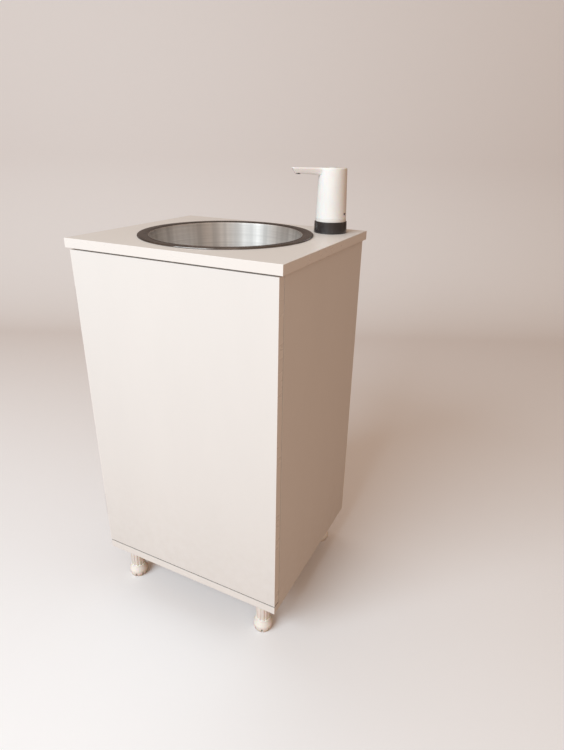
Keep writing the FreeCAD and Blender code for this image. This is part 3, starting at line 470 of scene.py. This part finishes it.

# %% [markdown]
# ## Moulded plastics
# One recipe serves every moulded part, because they differ only in colour, gloss and texture:
# orange peel from the mould, slightly uneven gloss, and a darker tone low down, in patches, on
# what stands on the floor. A clear coat gives the pump its wet shine. Thin parts let a little light
# in.

# %% Finish: moulded plastic
def moulded(name, colour, roughness, peel=260.0, depth=0.00005, coat=0.0, glow=0.0, low_share=0.0):
    material, tree, shader, where = start_material(
        name, Coat_Weight=coat, Coat_Roughness=0.06, Subsurface_Weight=glow, Subsurface_Scale=0.004)
    relief = place(tree, fine_relief, Vector=where, Scale=peel, Depth=1.0)
    wiped = place(tree, wipe_marks, Vector=where, Scale=22.0, Stretch=(1.0, 1.0, 0.5))["Mask"]
    darker = rgba(*(0.88 * value for value in colour))
    tone = mixed(tree, maths(tree, "MULTIPLY", wiped, 0.45), rgba(*colour), darker)
    low_mask = place(tree, darker_low_down, Vector=where, Reach=0.10)["Mask"]
    feed(tree, shader, "Base Color",
         mixed(tree, maths(tree, "MULTIPLY", low_mask, low_share), tone, rgba(0.34, 0.29, 0.23)))
    rough = maths(tree, "ADD", maths(tree, "MULTIPLY", wiped, 0.09),
                  maths(tree, "MULTIPLY", relief["Tone"], 0.05))
    feed(tree, shader, "Roughness", maths(tree, "ADD", rough, roughness))
    bump(tree, shader, relief["Height"], depth, 0.4)
    return material


pump_white = moulded("pump white", (0.93, 0.93, 0.93), 0.34, coat=0.1, glow=0.15)
pump_ring_white = moulded("pump ring white", (0.84, 0.84, 0.83), 0.26, coat=0.2)
button_grey = moulded("button grey", (0.66, 0.67, 0.68), 0.42, peel=900.0, depth=0.00012)
collar_black = moulded("collar black", (0.022, 0.020, 0.022), 0.24, peel=1200.0, depth=0.00001,
                       coat=0.4)
leg_white = moulded("leg white", (0.96, 0.955, 0.93), 0.30, glow=0.15, low_share=0.14)
latch_grey = moulded("latch grey", (0.42, 0.43, 0.44), 0.40, peel=900.0)
drain_white = moulded("drain white", (0.74, 0.74, 0.72), 0.34)
black_rubber = moulded("black rubber", (0.03, 0.03, 0.03), 0.62, peel=1500.0, depth=0.0001)
fresh_blue = moulded("fresh jug blue", (0.52, 0.68, 0.84), 0.34, peel=120.0, depth=0.0003,
                     glow=0.25)
waste_milky = moulded("waste jug milky", (0.72, 0.71, 0.66), 0.36, peel=120.0, depth=0.0003,
                      glow=0.25)
silicone = moulded("milky silicone", (0.76, 0.77, 0.76), 0.38, glow=0.3)
circuit_green = moulded("circuit green", (0.03, 0.17, 0.08), 0.35, peel=1800.0, coat=0.3)
battery_blue = moulded("battery sleeve", (0.05, 0.10, 0.30), 0.25, coat=0.3)
motor_grey = moulded("motor can", (0.40, 0.41, 0.43), 0.35)
print("materials so far:", len(bpy.data.materials))

# %% [markdown]
# ## Making pieces
# There are three ways to make a piece here. A **rounded copy** takes a CAD mesh, merges its
# corners and bevels its sharp edges: right for boards and plates. A **turned** piece spins a
# profile round an upright axis: right for the basin, drain and collar. A **drawn** piece joins
# sections along a path: right for the spout, jugs and handles. Each one rides its body and
# stands for the CAD nodes that it covers. Smooth shading would bend the light across a big flat
# board, so a large face with no slow curve beside it is shaded flat.

# %% Adopt a mesh as a piece
body_of = {name: next(body for body, empty in frame["bodies"].items() if node.parent == empty)
           for name, node in nodes.items()}
weld = 0.000002          # corners closer than this, in metres, become one
large_face = 0.0001      # square metres
slow_curve = (0.03, 0.2)    # turns between neighbouring faces of a curve, in radians


def stands_alone(face):
    """Say whether a large face has no neighbour that goes on from it in a slow curve."""
    turns = [edge.calc_face_angle(0) for edge in face.edges]
    curved = any(slow_curve[0] < turn < slow_curve[1] for turn in turns)
    return face.calc_area() > large_face and not curved


def adopt(name, bm, material, covers=(), body=None, sharp=32):
    """Turn a bmesh into a smooth piece that rides a body and stands for its CAD nodes."""
    bmesh.ops.recalc_face_normals(bm, faces=bm.faces)
    flat = [index for index, face in enumerate(bm.faces) if stands_alone(face)]
    mesh = bpy.data.meshes.new(name)
    bm.to_mesh(mesh)
    bm.free()
    for attribute in [a.name for a in mesh.attributes if a.name == "custom_normal"]:
        mesh.attributes.remove(mesh.attributes[attribute])
    mesh.materials.clear()
    mesh.materials.append(material)
    mesh.shade_smooth()
    mesh.set_sharp_from_angle(angle=math.radians(sharp))
    for index in flat:
        mesh.polygons[index].use_smooth = False
    piece = bpy.data.objects.new(name, mesh)
    bpy.context.scene.collection.objects.link(piece)
    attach(piece, body or body_of[covers[0]])
    if covers:
        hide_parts(*covers)
    return piece


print("bodies of", len(body_of), "nodes known")

# %% A rounded copy of a CAD node
def rounded_copy(node, material, width=0.5 * MM, segments=2, angle=32, name=None):
    bm = bmesh.new()
    bm.from_mesh(nodes[node].data)
    bmesh.ops.remove_doubles(bm, verts=bm.verts, dist=weld)
    bmesh.ops.dissolve_limit(bm, angle_limit=math.radians(0.6), verts=bm.verts, edges=bm.edges)
    sharp = [edge for edge in bm.edges
             if len(edge.link_faces) == 2 and edge.calc_face_angle(0) > math.radians(angle)]
    bmesh.ops.bevel(bm, geom=sharp, offset=width, offset_type="OFFSET", segments=segments,
                    profile=0.5, affect="EDGES", clamp_overlap=True, material=-1)
    return adopt(name or node + "_dress", bm, material, covers=(node,), sharp=40)


print("first way to make a piece: rounded_copy")

# %% A turned piece, with an arc at each corner that has a bend
def rounded(corners, steps=6):
    """Corners are (x, z, bend); each bend becomes an arc of that radius."""
    points = []
    for index, (x, z, bend) in enumerate(corners):
        here = Vector((x, z))
        if not bend or index in (0, len(corners) - 1):
            points.append(here)
            continue
        back = (Vector(corners[index - 1][:2]) - here).normalized()
        on = (Vector(corners[index + 1][:2]) - here).normalized()
        half = back.angle(on) / 2
        centre = here + (back + on).normalized() * bend / math.sin(half)
        start = here + back * bend / math.tan(half) - centre
        end = here + on * bend / math.tan(half) - centre
        sweep = math.pi - 2 * half
        for step in range(steps + 1):
            first, second = (math.sin(sweep * (1 - step / steps)), math.sin(sweep * step / steps))
            points.append(centre + (start * first + end * second) / math.sin(sweep))
    return points


def turned(profile, axis, base, steps=128, closed=False):
    """Spin a profile in millimetres round an upright axis through a point."""
    bm = bmesh.new()
    verts = [bm.verts.new((axis.x + p[0] * MM, axis.y, base + p[1] * MM)) for p in profile]
    pairs = list(zip(verts, verts[1:])) + ([(verts[-1], verts[0])] if closed else [])
    edges = [bm.edges.new(pair) for pair in pairs]
    bmesh.ops.spin(bm, geom=verts + edges, cent=(axis.x, axis.y, 0), axis=(0, 0, 1), dvec=(0, 0, 0),
                   angle=2 * math.pi, steps=steps, use_merge=True, use_duplicate=False)
    bmesh.ops.remove_doubles(bm, verts=bm.verts, dist=weld)
    return bm


print("second way to make a piece: turned")

# %% A drawn piece: sections joined one after another
def rounded_section(half_x, half_y, bend, steps=5):
    """Points round a rectangle with round corners, anticlockwise."""
    points = []
    for quarter, (x, y) in enumerate(((1, 1), (-1, 1), (-1, -1), (1, -1))):
        for step in range(steps + 1):
            turn = math.radians(90) * (quarter + step / steps)
            points.append((x * (half_x - bend) + bend * math.cos(turn),
                           y * (half_y - bend) + bend * math.sin(turn)))
    return points


def drawn(sections, bm=None):
    """Join sections in turn and close both ends."""
    bm = bm or bmesh.new()
    loops = []
    for section in sections:
        verts = [bm.verts.new(point) for point in section]
        loops.append([bm.edges.new(pair) for pair in zip(verts, verts[1:] + verts[:1])])
    for first, second in zip(loops, loops[1:]):
        bmesh.ops.bridge_loops(bm, edges=first + second)
    for end in (loops[0], loops[-1]):
        bmesh.ops.holes_fill(bm, edges=end, sides=0)
    return bm


def finish_nodes(material, *names):
    """Give CAD nodes their finish, without touching their meshes."""
    for name in names:
        slots = nodes[name].data.materials
        for index in range(len(slots)):
            slots[index] = material


print("third way to make a piece: drawn")

# %% [markdown]
# ## Cabinet boards
# The boards are cut square and banded, then the bands are trimmed flush with a small round. That
# round is what catches the light along the door's edge and the worktop's front, so each board
# becomes a rounded copy. The narrower round on the board leaves the fine joint line to the band.

# %% Dress the boards and bands
rounded_copy("countertop", worktop_board, 0.25 * MM)
rounded_copy("countertop_edge_band", edge_band, 0.45 * MM, 3)
rounded_copy("door", white_board, 0.2 * MM)
rounded_copy("door_edge_band", edge_band, 0.45 * MM, 3)
rounded_copy("bottom_board_edge_band", edge_band, 0.4 * MM, 3)
for board in ("bottom_board", "side_panel_left", "side_panel_right",
              "top_rail_front", "top_rail_back"):
    rounded_copy(board, white_board, 0.3 * MM)
rounded_copy("back_panel", hardboard, 0.2 * MM)
finish_nodes(beech, "rail_dowels")
print("boards dressed")

# %% [markdown]
# ## Legs and feet
# Each leg is one moulding: a square flange with four screws, a fluted column, and a bell-shaped
# foot with finger notches that screws in and out to level the cabinet. The flutes and notches
# are real features of the CAD part, so a rounded copy keeps them and softens them as a mould does.

# %% Dress the legs and feet
for corner in ("front_left", "front_right", "back_left", "back_right"):
    rounded_copy("leg_" + corner, leg_white, 0.5 * MM, 3)
    rounded_copy("foot_" + corner, leg_white, 0.6 * MM, 3)
finish_nodes(zinc, "leg_screws")
print("four legs and four feet dressed")

# %% [markdown]
# ## Door hardware
# Pressed steel leaves turn on a pin, and a touch latch holds the door. Pressing and plating leave
# every edge slightly round. Screws keep their CAD mesh, because their cross recess is right.

# %% Dress the hinges and the latch
for leaves in ("hinge_frame_leaves", "hinge_door_leaves"):
    rounded_copy(leaves, zinc, 0.25 * MM)
rounded_copy("hinge_pins", zinc, 0.3 * MM, 3)
rounded_copy("strike_plate", zinc, 0.25 * MM)
rounded_copy("touch_latch_housing", latch_grey, 0.5 * MM, 3)
rounded_copy("touch_latch_plunger", latch_grey, 0.5 * MM, 3)
finish_nodes(zinc, "hinge_screws_frame", "hinge_screws_door", "touch_latch_screws",
             "touch_latch_spring", "carcass_screws", "worktop_screws", "back_panel_screws")
print("hardware dressed")

# %% [markdown]
# ## The basin
# The bowl is spun from one sheet. Its flange lies on a rubber ring, rises to a rolled outer edge,
# runs nearly flat, and rolls over a small bead into the wall. The CAD bowl has the sizes. This
# piece follows them with a finer profile: a faint crown on the flange and a true bead at the lip,
# which draws the bright line round the mouth. The flange and the bowl get different polish, and
# the flange's steel is painted dark, a painted reflection of the dim room that it mirrors.

# %% Turn the bowl and its flange
rim_radius = size("basin").x / 2 / MM
rim_width = 22.5
mouth = rim_radius - rim_width
wall_top, wall_floor, floor_bend = 3.0, -150.0, 45.0
floor_radius = mouth - 12.0
drain_hole = 21.5
bowl_profile = rounded([
    (mouth + 1.6, wall_top - 1.7, 0), (mouth - 0.4, wall_top - 1.2, 1.4),
    (mouth - 0.9, wall_top - 6.5, 2.0), (floor_radius, wall_floor, floor_bend),
    (42.0, wall_floor - 4.0, 6.0), (drain_hole, wall_floor - 4.0, 0)], 14)
under_profile = [(r + (1.0 if z > wall_floor + 20 else 0.3), z - 0.9)
                 for r, z in reversed(bowl_profile)]
one_degree_steps = 360
bowl = turned(bowl_profile + under_profile, basin_axis, worktop_top, one_degree_steps, closed=True)
adopt("basin_bowl", bowl, basin_steel, covers=("basin",), sharp=50)
rim_profile = rounded([
    (rim_radius - 1.0, 0.25, 0), (rim_radius, 0.25, 0.3), (rim_radius - 0.1, wall_top - 0.4, 1.6),
    (rim_radius - 5.0, wall_top - 0.2, 3.0), (rim_radius - 14.0, wall_top - 0.5, 6.0),
    (mouth + 3.0, wall_top - 1.9, 2.5), (mouth + 1.4, wall_top - 1.2, 1.0),
    (mouth + 0.2, wall_top - 1.8, 0), (mouth + 1.2, wall_top - 3.0, 0)], 8)
rim = turned(rim_profile, basin_axis, worktop_top, one_degree_steps, closed=True)
# The flange takes the dark steel of painted reflection.
adopt("basin_rim", rim, rim_steel_painted_dark, body="cabinet", sharp=50)
finish_nodes(black_rubber, "basin_seal", "drain_gasket")
rounded_copy("basin_clips", zinc, 0.2 * MM)
finish_nodes(zinc, "basin_clip_screws")
print("basin", round(2 * rim_radius), "mm across, mouth", round(2 * mouth), "mm")

# %% [markdown]
# ## Drain and strainer
# A flanged drain clamps through the bowl's floor. The flange is dished towards the strainer seat
# and its edge is rolled. The plumbing below is plain moulded plastic with wing flats on the nuts.

# %% Dress the drain
rounded_copy("drain_flange", polished_steel, 0.6 * MM, 3, name="drain_flange_dress")
rounded_copy("strainer", polished_steel, 0.2 * MM)
for fitting in ("drain_lock_nut", "drain_slip_nut", "drain_tailpiece"):
    rounded_copy(fitting, drain_white, 0.6 * MM, 3)
print("drain dressed")

# %% [markdown]
# ## The pump
# The pump head is glossy white and stands in a black collar. Its shell tapers to a flat top that
# runs out into the spout. In the real moulding shell and spout are one skin, so the spout's root
# flares where it leaves the shell, its sides lean in underneath, and the tip is cut at a slant.
# A seam just above the collar parts the shell from its base ring.

# %% Draw the spout in its own direction, then turn it round the pump's axis
shell_top = (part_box("pump_shell")[1].z - worktop_top) / MM
side_slope = 0.45    # how much narrower the spout is underneath, as a share of its width


def spout_section(x, width, top, bottom, bend, lean):
    """One outline of the spout in millimetres, lying along x and leaning with its slant."""
    height, centre = top - bottom, (top + bottom) / 2
    return [(x + lean * z, y * (1 - side_slope * (0.5 - z / height)), centre + z)
            for y, z in rounded_section(width / 2, height / 2, bend)]


def in_pump_place(section):
    """Turn an outline into the spout's direction and set it on the worktop, in metres."""
    turn = Matrix.Rotation(spout_turn, 3, "Z")
    move = Vector((pump_axis.x, pump_axis.y, worktop_top))
    return [turn @ (Vector(point) * MM) + move for point in section]


# Along the spout: distance, width, top and underside below the shell's top, corner round, slant
stations = [
    (24.5, 30.0, 0.0, 17.0, 5.0, 0.0), (27.0, 27.6, 0.0, 15.4, 4.6, 0.0),
    (29.0, 26.2, 0.0, 14.6, 4.2, 0.0), (32.0, 25.0, 0.0, 14.0, 3.8, 0.0),
    (37.0, 23.8, 0.0, 13.4, 3.5, 0.02), (43.0, 22.6, 0.0, 12.9, 3.3, 0.05),
    (52.0, 20.9, 0.0, 12.4, 3.1, 0.15), (64.0, 18.7, 0.0, 12.0, 3.0, 0.3),
    (76.0, 16.5, 0.0, 11.7, 2.8, 0.5), (80.4, 15.6, 0.0, 11.6, 2.6, 0.6),
    (81.6, 14.8, 0.5, 11.1, 2.4, 0.6), (82.2, 13.0, 1.4, 10.3, 2.2, 0.6)]
spout = drawn([
    in_pump_place(spout_section(x, width, shell_top - top, shell_top - under, bend, lean))
    for x, width, top, under, bend, lean in stations])
adopt("spout_dress", spout, pump_white, covers=("pump_spout",), sharp=60)
print("spout drawn through", len(stations), "sections")

# %% Shell, top, base ring and collar
rounded_copy("pump_shell", pump_white, 0.35 * MM, 3, 40)
rounded_copy("pump_base_ring", pump_ring_white, 0.35 * MM, 3, 40)
rounded_copy("pump_top_cap", pump_white, 0.3 * MM, 3, 40)
rounded_copy("pump_button", button_grey, 0.3 * MM, 3, 40)
rounded_copy("pump_collar", collar_black, 0.5 * MM, 3, 40)
rounded_copy("pump_collar_nut", collar_black, 0.5 * MM, 3)
finish_nodes(circuit_green, "pump_switch_board")
finish_nodes(collar_black, "pump_charging_board")
finish_nodes(battery_blue, "pump_battery")
finish_nodes(motor_grey, "pump_motor")
finish_nodes(silicone, "pump_outlet_tube", "suction_tube")
finish_nodes(zinc, "pump_button_spring")
print("pump dressed")

# %% [markdown]
# ## The charging socket
# A small socket sits behind the shell's port, low on the back of the head. It is a rounded tube
# of bright metal with a dark tongue inside, drawn outwards from the shell's wall.

# %% Draw the socket and its tongue
port_turn = math.radians(-4.0)
port_height = 38.5


def port_section(distance, half_wide, half_tall):
    """An oval outline at a distance from the pump's axis, all in millimetres."""
    turn = Matrix.Rotation(port_turn, 3, "Z")
    move = Vector((pump_axis.x, pump_axis.y, worktop_top + port_height * MM))
    return [turn @ (Vector((distance, y, z)) * MM) + move
            for y, z in rounded_section(half_wide, half_tall, 0.8 * half_tall)]


socket = drawn([port_section(26.5, 4.2, 1.5), port_section(30.6, 4.2, 1.5),
                port_section(30.8, 4.0, 1.3), port_section(30.6, 3.7, 1.05),
                port_section(27.6, 3.7, 1.05)])
adopt("charging_socket", socket, zinc, body="pump_head")
tongue = drawn([port_section(27.0, 2.9, 0.4), port_section(29.6, 2.9, 0.4),
                port_section(29.8, 2.7, 0.25)])
adopt("charging_tongue", tongue, collar_black, body="pump_head")
print("socket drawn")

# %% [markdown]
# ## The nozzle
# The water leaves through a small insert under the spout's tip. It is a short collar with a dark
# throat. As a separate piece it can be pressed into the spout, as it is in the real pump.

# %% Turn the nozzle insert
nozzle_reach = 72.0
nozzle_seat = shell_top - 12.1
nozzle = Vector((pump_axis.x + math.cos(spout_turn) * nozzle_reach * MM,
                 pump_axis.y + math.sin(spout_turn) * nozzle_reach * MM, 0))
nozzle_profile = rounded([(3.4, 3.0, 0), (3.4, -0.4, 0.3), (4.7, -0.4, 0.4),
                          (4.9, 1.2, 0.2), (4.4, 3.0, 0)], 3)
insert = turned(nozzle_profile, nozzle, worktop_top + nozzle_seat * MM, 48, closed=True)
adopt("nozzle_insert", insert, collar_black, body="pump_head")
print("nozzle at", [round(v, 4) for v in nozzle[:2]])

# %% [markdown]
# ## Water jugs
# Both jugs are blow-moulded, so nothing on them is sharp: the walls bow into broad ribs that
# stiffen them, the shoulder is round, the parting line runs round the middle, and the handle is
# hollow and oval. The neck carries coarse thread rings. A jug is drawn upwards, section by
# section, and each rib is a pair of sections that dip inwards.

# %% Draw a jug
neck_height = 42.0
tank_bend = 24.0
handle_half_opening = 42.0
handle_rise = 36.0


def jug_tank(low, high, bend, ribs):
    """Sections of a tank, ribs at the given shares of its height.

    Each dip is a rise above the tank's floor in metres and an inset in millimetres.
    """
    middle_x, middle_y = (low.x + high.x) / 2, (low.y + high.y) / 2
    half_x, half_y = (high.x - low.x) / 2, (high.y - low.y) / 2
    tall = high.z - low.z
    dips = [(0.0, 9.0), (0.0008, 6.0), (0.003, 3.2), (0.007, 1.2), (0.012, 0.0)]
    for share in ribs:
        centre = share * tall
        dips += [(centre - 0.009, 0.0), (centre - 0.005, 0.7), (centre - 0.003, 2.0), (centre, 2.6),
                 (centre + 0.003, 2.0), (centre + 0.005, 0.7), (centre + 0.009, 0.0)]
    dips += [(tall - 0.016, 0.0), (tall - 0.010, 1.0), (tall - 0.005, 3.2),
             (tall - 0.0015, 7.0), (tall, 13.0)]
    sections = []
    for rise, dip in dips:
        inset = dip * MM
        outline = rounded_section(half_x - inset, half_y - inset, bend - 0.4 * inset, 8)
        sections.append([(middle_x + x, middle_y + y, low.z + rise) for x, y in outline])
    return sections


def jug_handle(x, y, top, half_opening, rise):
    """An oval bar that climbs from the shoulder, runs level and comes down again."""
    grip_half_width, grip_half_depth, grip_bend = 10.6, 5.8, 5.4
    root_flare = 1.35
    across = Vector((1, 0, 0))
    corners = [(-half_opening - 9.0, -4.0, 0), (-half_opening - 9.0, rise, 13.0),
               (half_opening + 9.0, rise, 13.0), (half_opening + 9.0, -4.0, 0)]
    line = [Vector((0, p[0], p[1])) for p in rounded(corners, 8)]
    sections = []
    for index, point in enumerate(line):
        along = (line[min(index + 1, len(line) - 1)] - line[max(index - 1, 0)]).normalized()
        side = across.cross(along)
        flare = root_flare if index in (0, len(line) - 1) else 1.0
        sections.append([Vector((x, y, top)) + (across * u * flare + side * v * flare + point) * MM
                         for u, v in rounded_section(grip_half_width, grip_half_depth, grip_bend)])
    return sections


def jug_neck(radius):
    """Profile of a neck with three thread rings, open at the top."""
    corners = [(radius + 5.0, -0.6, 0), (radius + 0.8, 0.8, 2.0), (radius - 0.2, 7.0, 1.0)]
    for turn in range(3):
        base = 8.0 + 4.6 * turn
        corners += [(radius - 0.2, base, 0.3), (radius + 1.6, base + 1.0, 0.5),
                    (radius + 1.6, base + 1.8, 0.5), (radius - 0.2, base + 2.8, 0.3)]
    corners += [(radius - 0.2, 28.0, 0.8), (radius - 2.6, 28.0, 0.8), (radius - 2.6, -0.6, 0)]
    return rounded(corners, 3)


def dress_jug(node, neck_at, neck_radius, handle_x, handle_y, ribs, material):
    low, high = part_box(node)
    top = high.z - neck_height * MM
    body = drawn(jug_tank(low, Vector((high.x, high.y, top)), tank_bend * MM, ribs))
    drawn(jug_handle(handle_x, handle_y, top, handle_half_opening, handle_rise), body)
    adopt(node + "_dress", body, material, covers=(node,), sharp=60)
    neck = turned(jug_neck(neck_radius), neck_at, top, 96, closed=True)
    adopt(node + "_neck", neck, material, body=body_of[node], sharp=50)
    print(node, "drawn,", round((top - low.z) * 1000), "mm to the shoulder")


fresh_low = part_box("fresh_water_jug")[0]
dress_jug("fresh_water_jug", neck_at=pump_axis, neck_radius=26.0,
          handle_x=middle("fresh_water_jug").x, handle_y=fresh_low.y + 122.0 * MM,
          ribs=(0.2, 0.4, 0.6, 0.8), material=fresh_blue)
waste_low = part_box("waste_water_jug")[0]
dress_jug("waste_water_jug", neck_at=basin_axis, neck_radius=29.0,
          handle_x=waste_low.x + 92.0 * MM, handle_y=basin_axis.y,
          ribs=(0.25, 0.5, 0.75), material=waste_milky)

# %% [markdown]
# ## Stage, light and camera
# The stage is a plain pale sheet that curves up behind the sink. A large, slightly cool key hangs
# high at the front left, so the door is bright and the right side falls into a warm half-shade, as
# it does in a room lit from one side. A small warm fill at the front right and a weak overhead lift
# the shade a little. The room itself is dim and warm. Only the camera sees the stage and the far
# wall as pale: bounced light meets a brown felt, which keeps the shade warm, and mirrors meet a
# dark grey one, which keeps the basin's flange dark.

# %% Stage: a floor that curves into a backdrop
def stage_material():
    material, tree, shader, where = start_material("pale stage", Specular_IOR_Level=0.2)
    relief = place(tree, fine_relief, Vector=where, Scale=180.0, Depth=1.0)
    pale = mixed(tree, relief["Tone"], rgba(0.92, 0.95, 0.99), rgba(0.90, 0.93, 0.97))
    path = add(tree, "ShaderNodeLightPath")
    brown_felt, grey_felt = rgba(0.45, 0.28, 0.18), rgba(0.30, 0.27, 0.255)
    felt = mixed(tree, path.outputs["Is Glossy Ray"], brown_felt, grey_felt)
    feed(tree, shader, "Base Color", mixed(tree, path.outputs["Is Camera Ray"], felt, pale))
    uneven = maths(tree, "MULTIPLY", relief["Tone"], 0.1)
    feed(tree, shader, "Roughness", maths(tree, "ADD", uneven, 0.7))
    bump(tree, shader, relief["Height"], 0.0001, 0.3)
    return material


sheet_front, sheet_back, sheet_height, sheet_bend = -3000.0, 2600.0, 3600.0, 900.0
sheet_half_width = 9.0
below_soles = 0.0002    # keeps the sheet and the soles out of one plane
sweep_line = rounded([(sheet_front, 0.0, 0), (sheet_back, 0.0, sheet_bend),
                      (sheet_back, sheet_height, 0)], 24)
sheet = bmesh.new()
line = [sheet.verts.new((-sheet_half_width, p[0] * MM, p[1] * MM - below_soles))
        for p in sweep_line]
edges = [sheet.edges.new(pair) for pair in zip(line, line[1:])]
grown = bmesh.ops.extrude_edge_only(sheet, edges=edges)["geom"]
bmesh.ops.translate(sheet, vec=(2 * sheet_half_width, 0, 0),
                    verts=[v for v in grown if isinstance(v, bmesh.types.BMVert)])
stage_mesh = bpy.data.meshes.new("stage")
sheet.to_mesh(stage_mesh)
sheet.free()
stage_mesh.materials.append(stage_material())
stage_mesh.shade_smooth()
stage = bpy.data.objects.new("stage", stage_mesh)
stage.rotation_euler.z = math.radians(26.0)
bpy.context.scene.collection.objects.link(stage)
print("stage ready")

# %% Lights
def soft_light(name, place_at, look_at, wide, tall, power, colour):
    data = bpy.data.lights.new(name, "AREA")
    data.shape = "RECTANGLE"
    data.size, data.size_y = wide, tall
    data.energy = power
    data.color = colour
    light = bpy.data.objects.new(name, data)
    light.location = place_at
    light.rotation_euler = (Vector(look_at) - Vector(place_at)).to_track_quat("-Z", "Y").to_euler()
    bpy.context.scene.collection.objects.link(light)
    return light


soft_light("key", place_at=(-0.85, -3.2, 2.65), look_at=(0, 0, 0.15), wide=3.0, tall=2.0,
           power=137.0, colour=(0.825, 0.94, 1.0))
soft_light("fill", place_at=(1.9, -2.6, 1.7), look_at=(0, 0, 0.70), wide=1.3, tall=1.0,
           power=9.5, colour=(1.0, 0.90, 0.82))
soft_light("overhead", place_at=(-0.3, 0.4, 2.4), look_at=(0, 0, 0.8), wide=0.9, tall=0.6,
           power=3.0, colour=(1.0, 0.96, 0.90))
print("lights:", [light.name for light in bpy.data.lights])

# %% Room: a warm dim light for everything, a pale far wall for the camera alone
world = bpy.data.worlds.new("room")
world.use_nodes = True
sky = world.node_tree
room = sky.nodes["Background"]
feed(sky, room, "Color", rgba(1.0, 0.71, 0.52))
feed(sky, room, "Strength", 0.47)
far_wall = add(sky, "ShaderNodeBackground")
feed(sky, far_wall, "Color", rgba(0.72, 0.70, 0.69))
choice = add(sky, "ShaderNodeMixShader")
feed(sky, choice, 0, add(sky, "ShaderNodeLightPath").outputs["Is Camera Ray"])
feed(sky, choice, 1, room.outputs["Background"])
feed(sky, choice, 2, far_wall.outputs["Background"])
feed(sky, sky.nodes["World Output"], "Surface", choice.outputs["Shader"])
bpy.context.scene.world = world
bpy.context.scene.view_settings.view_transform = "Standard"
print("world:", world.name)

# %% Camera
yaw, pitch, roll = -0.4588, 0.4154, 0.0184
eye = Vector((0.58457, -0.91503, 0.99310))
focal_length = 25.25
forward = Vector((math.sin(yaw) * math.cos(pitch), math.cos(yaw) * math.cos(pitch),
                  -math.sin(pitch)))
level = forward.cross(Vector((0, 0, 1))).normalized()
upright = level.cross(forward)
right = math.cos(roll) * level + math.sin(roll) * upright
above = math.cos(roll) * upright - math.sin(roll) * level
view = Matrix((right, above, -forward)).transposed().to_4x4()
view.translation = eye
lens = bpy.data.cameras.new("camera")
lens.lens = focal_length
lens.clip_start = 0.02
camera = bpy.data.objects.new("camera", lens)
camera.matrix_world = view
bpy.context.scene.collection.objects.link(camera)
bpy.context.scene.camera = camera
print("camera at", [round(v, 3) for v in view.translation])
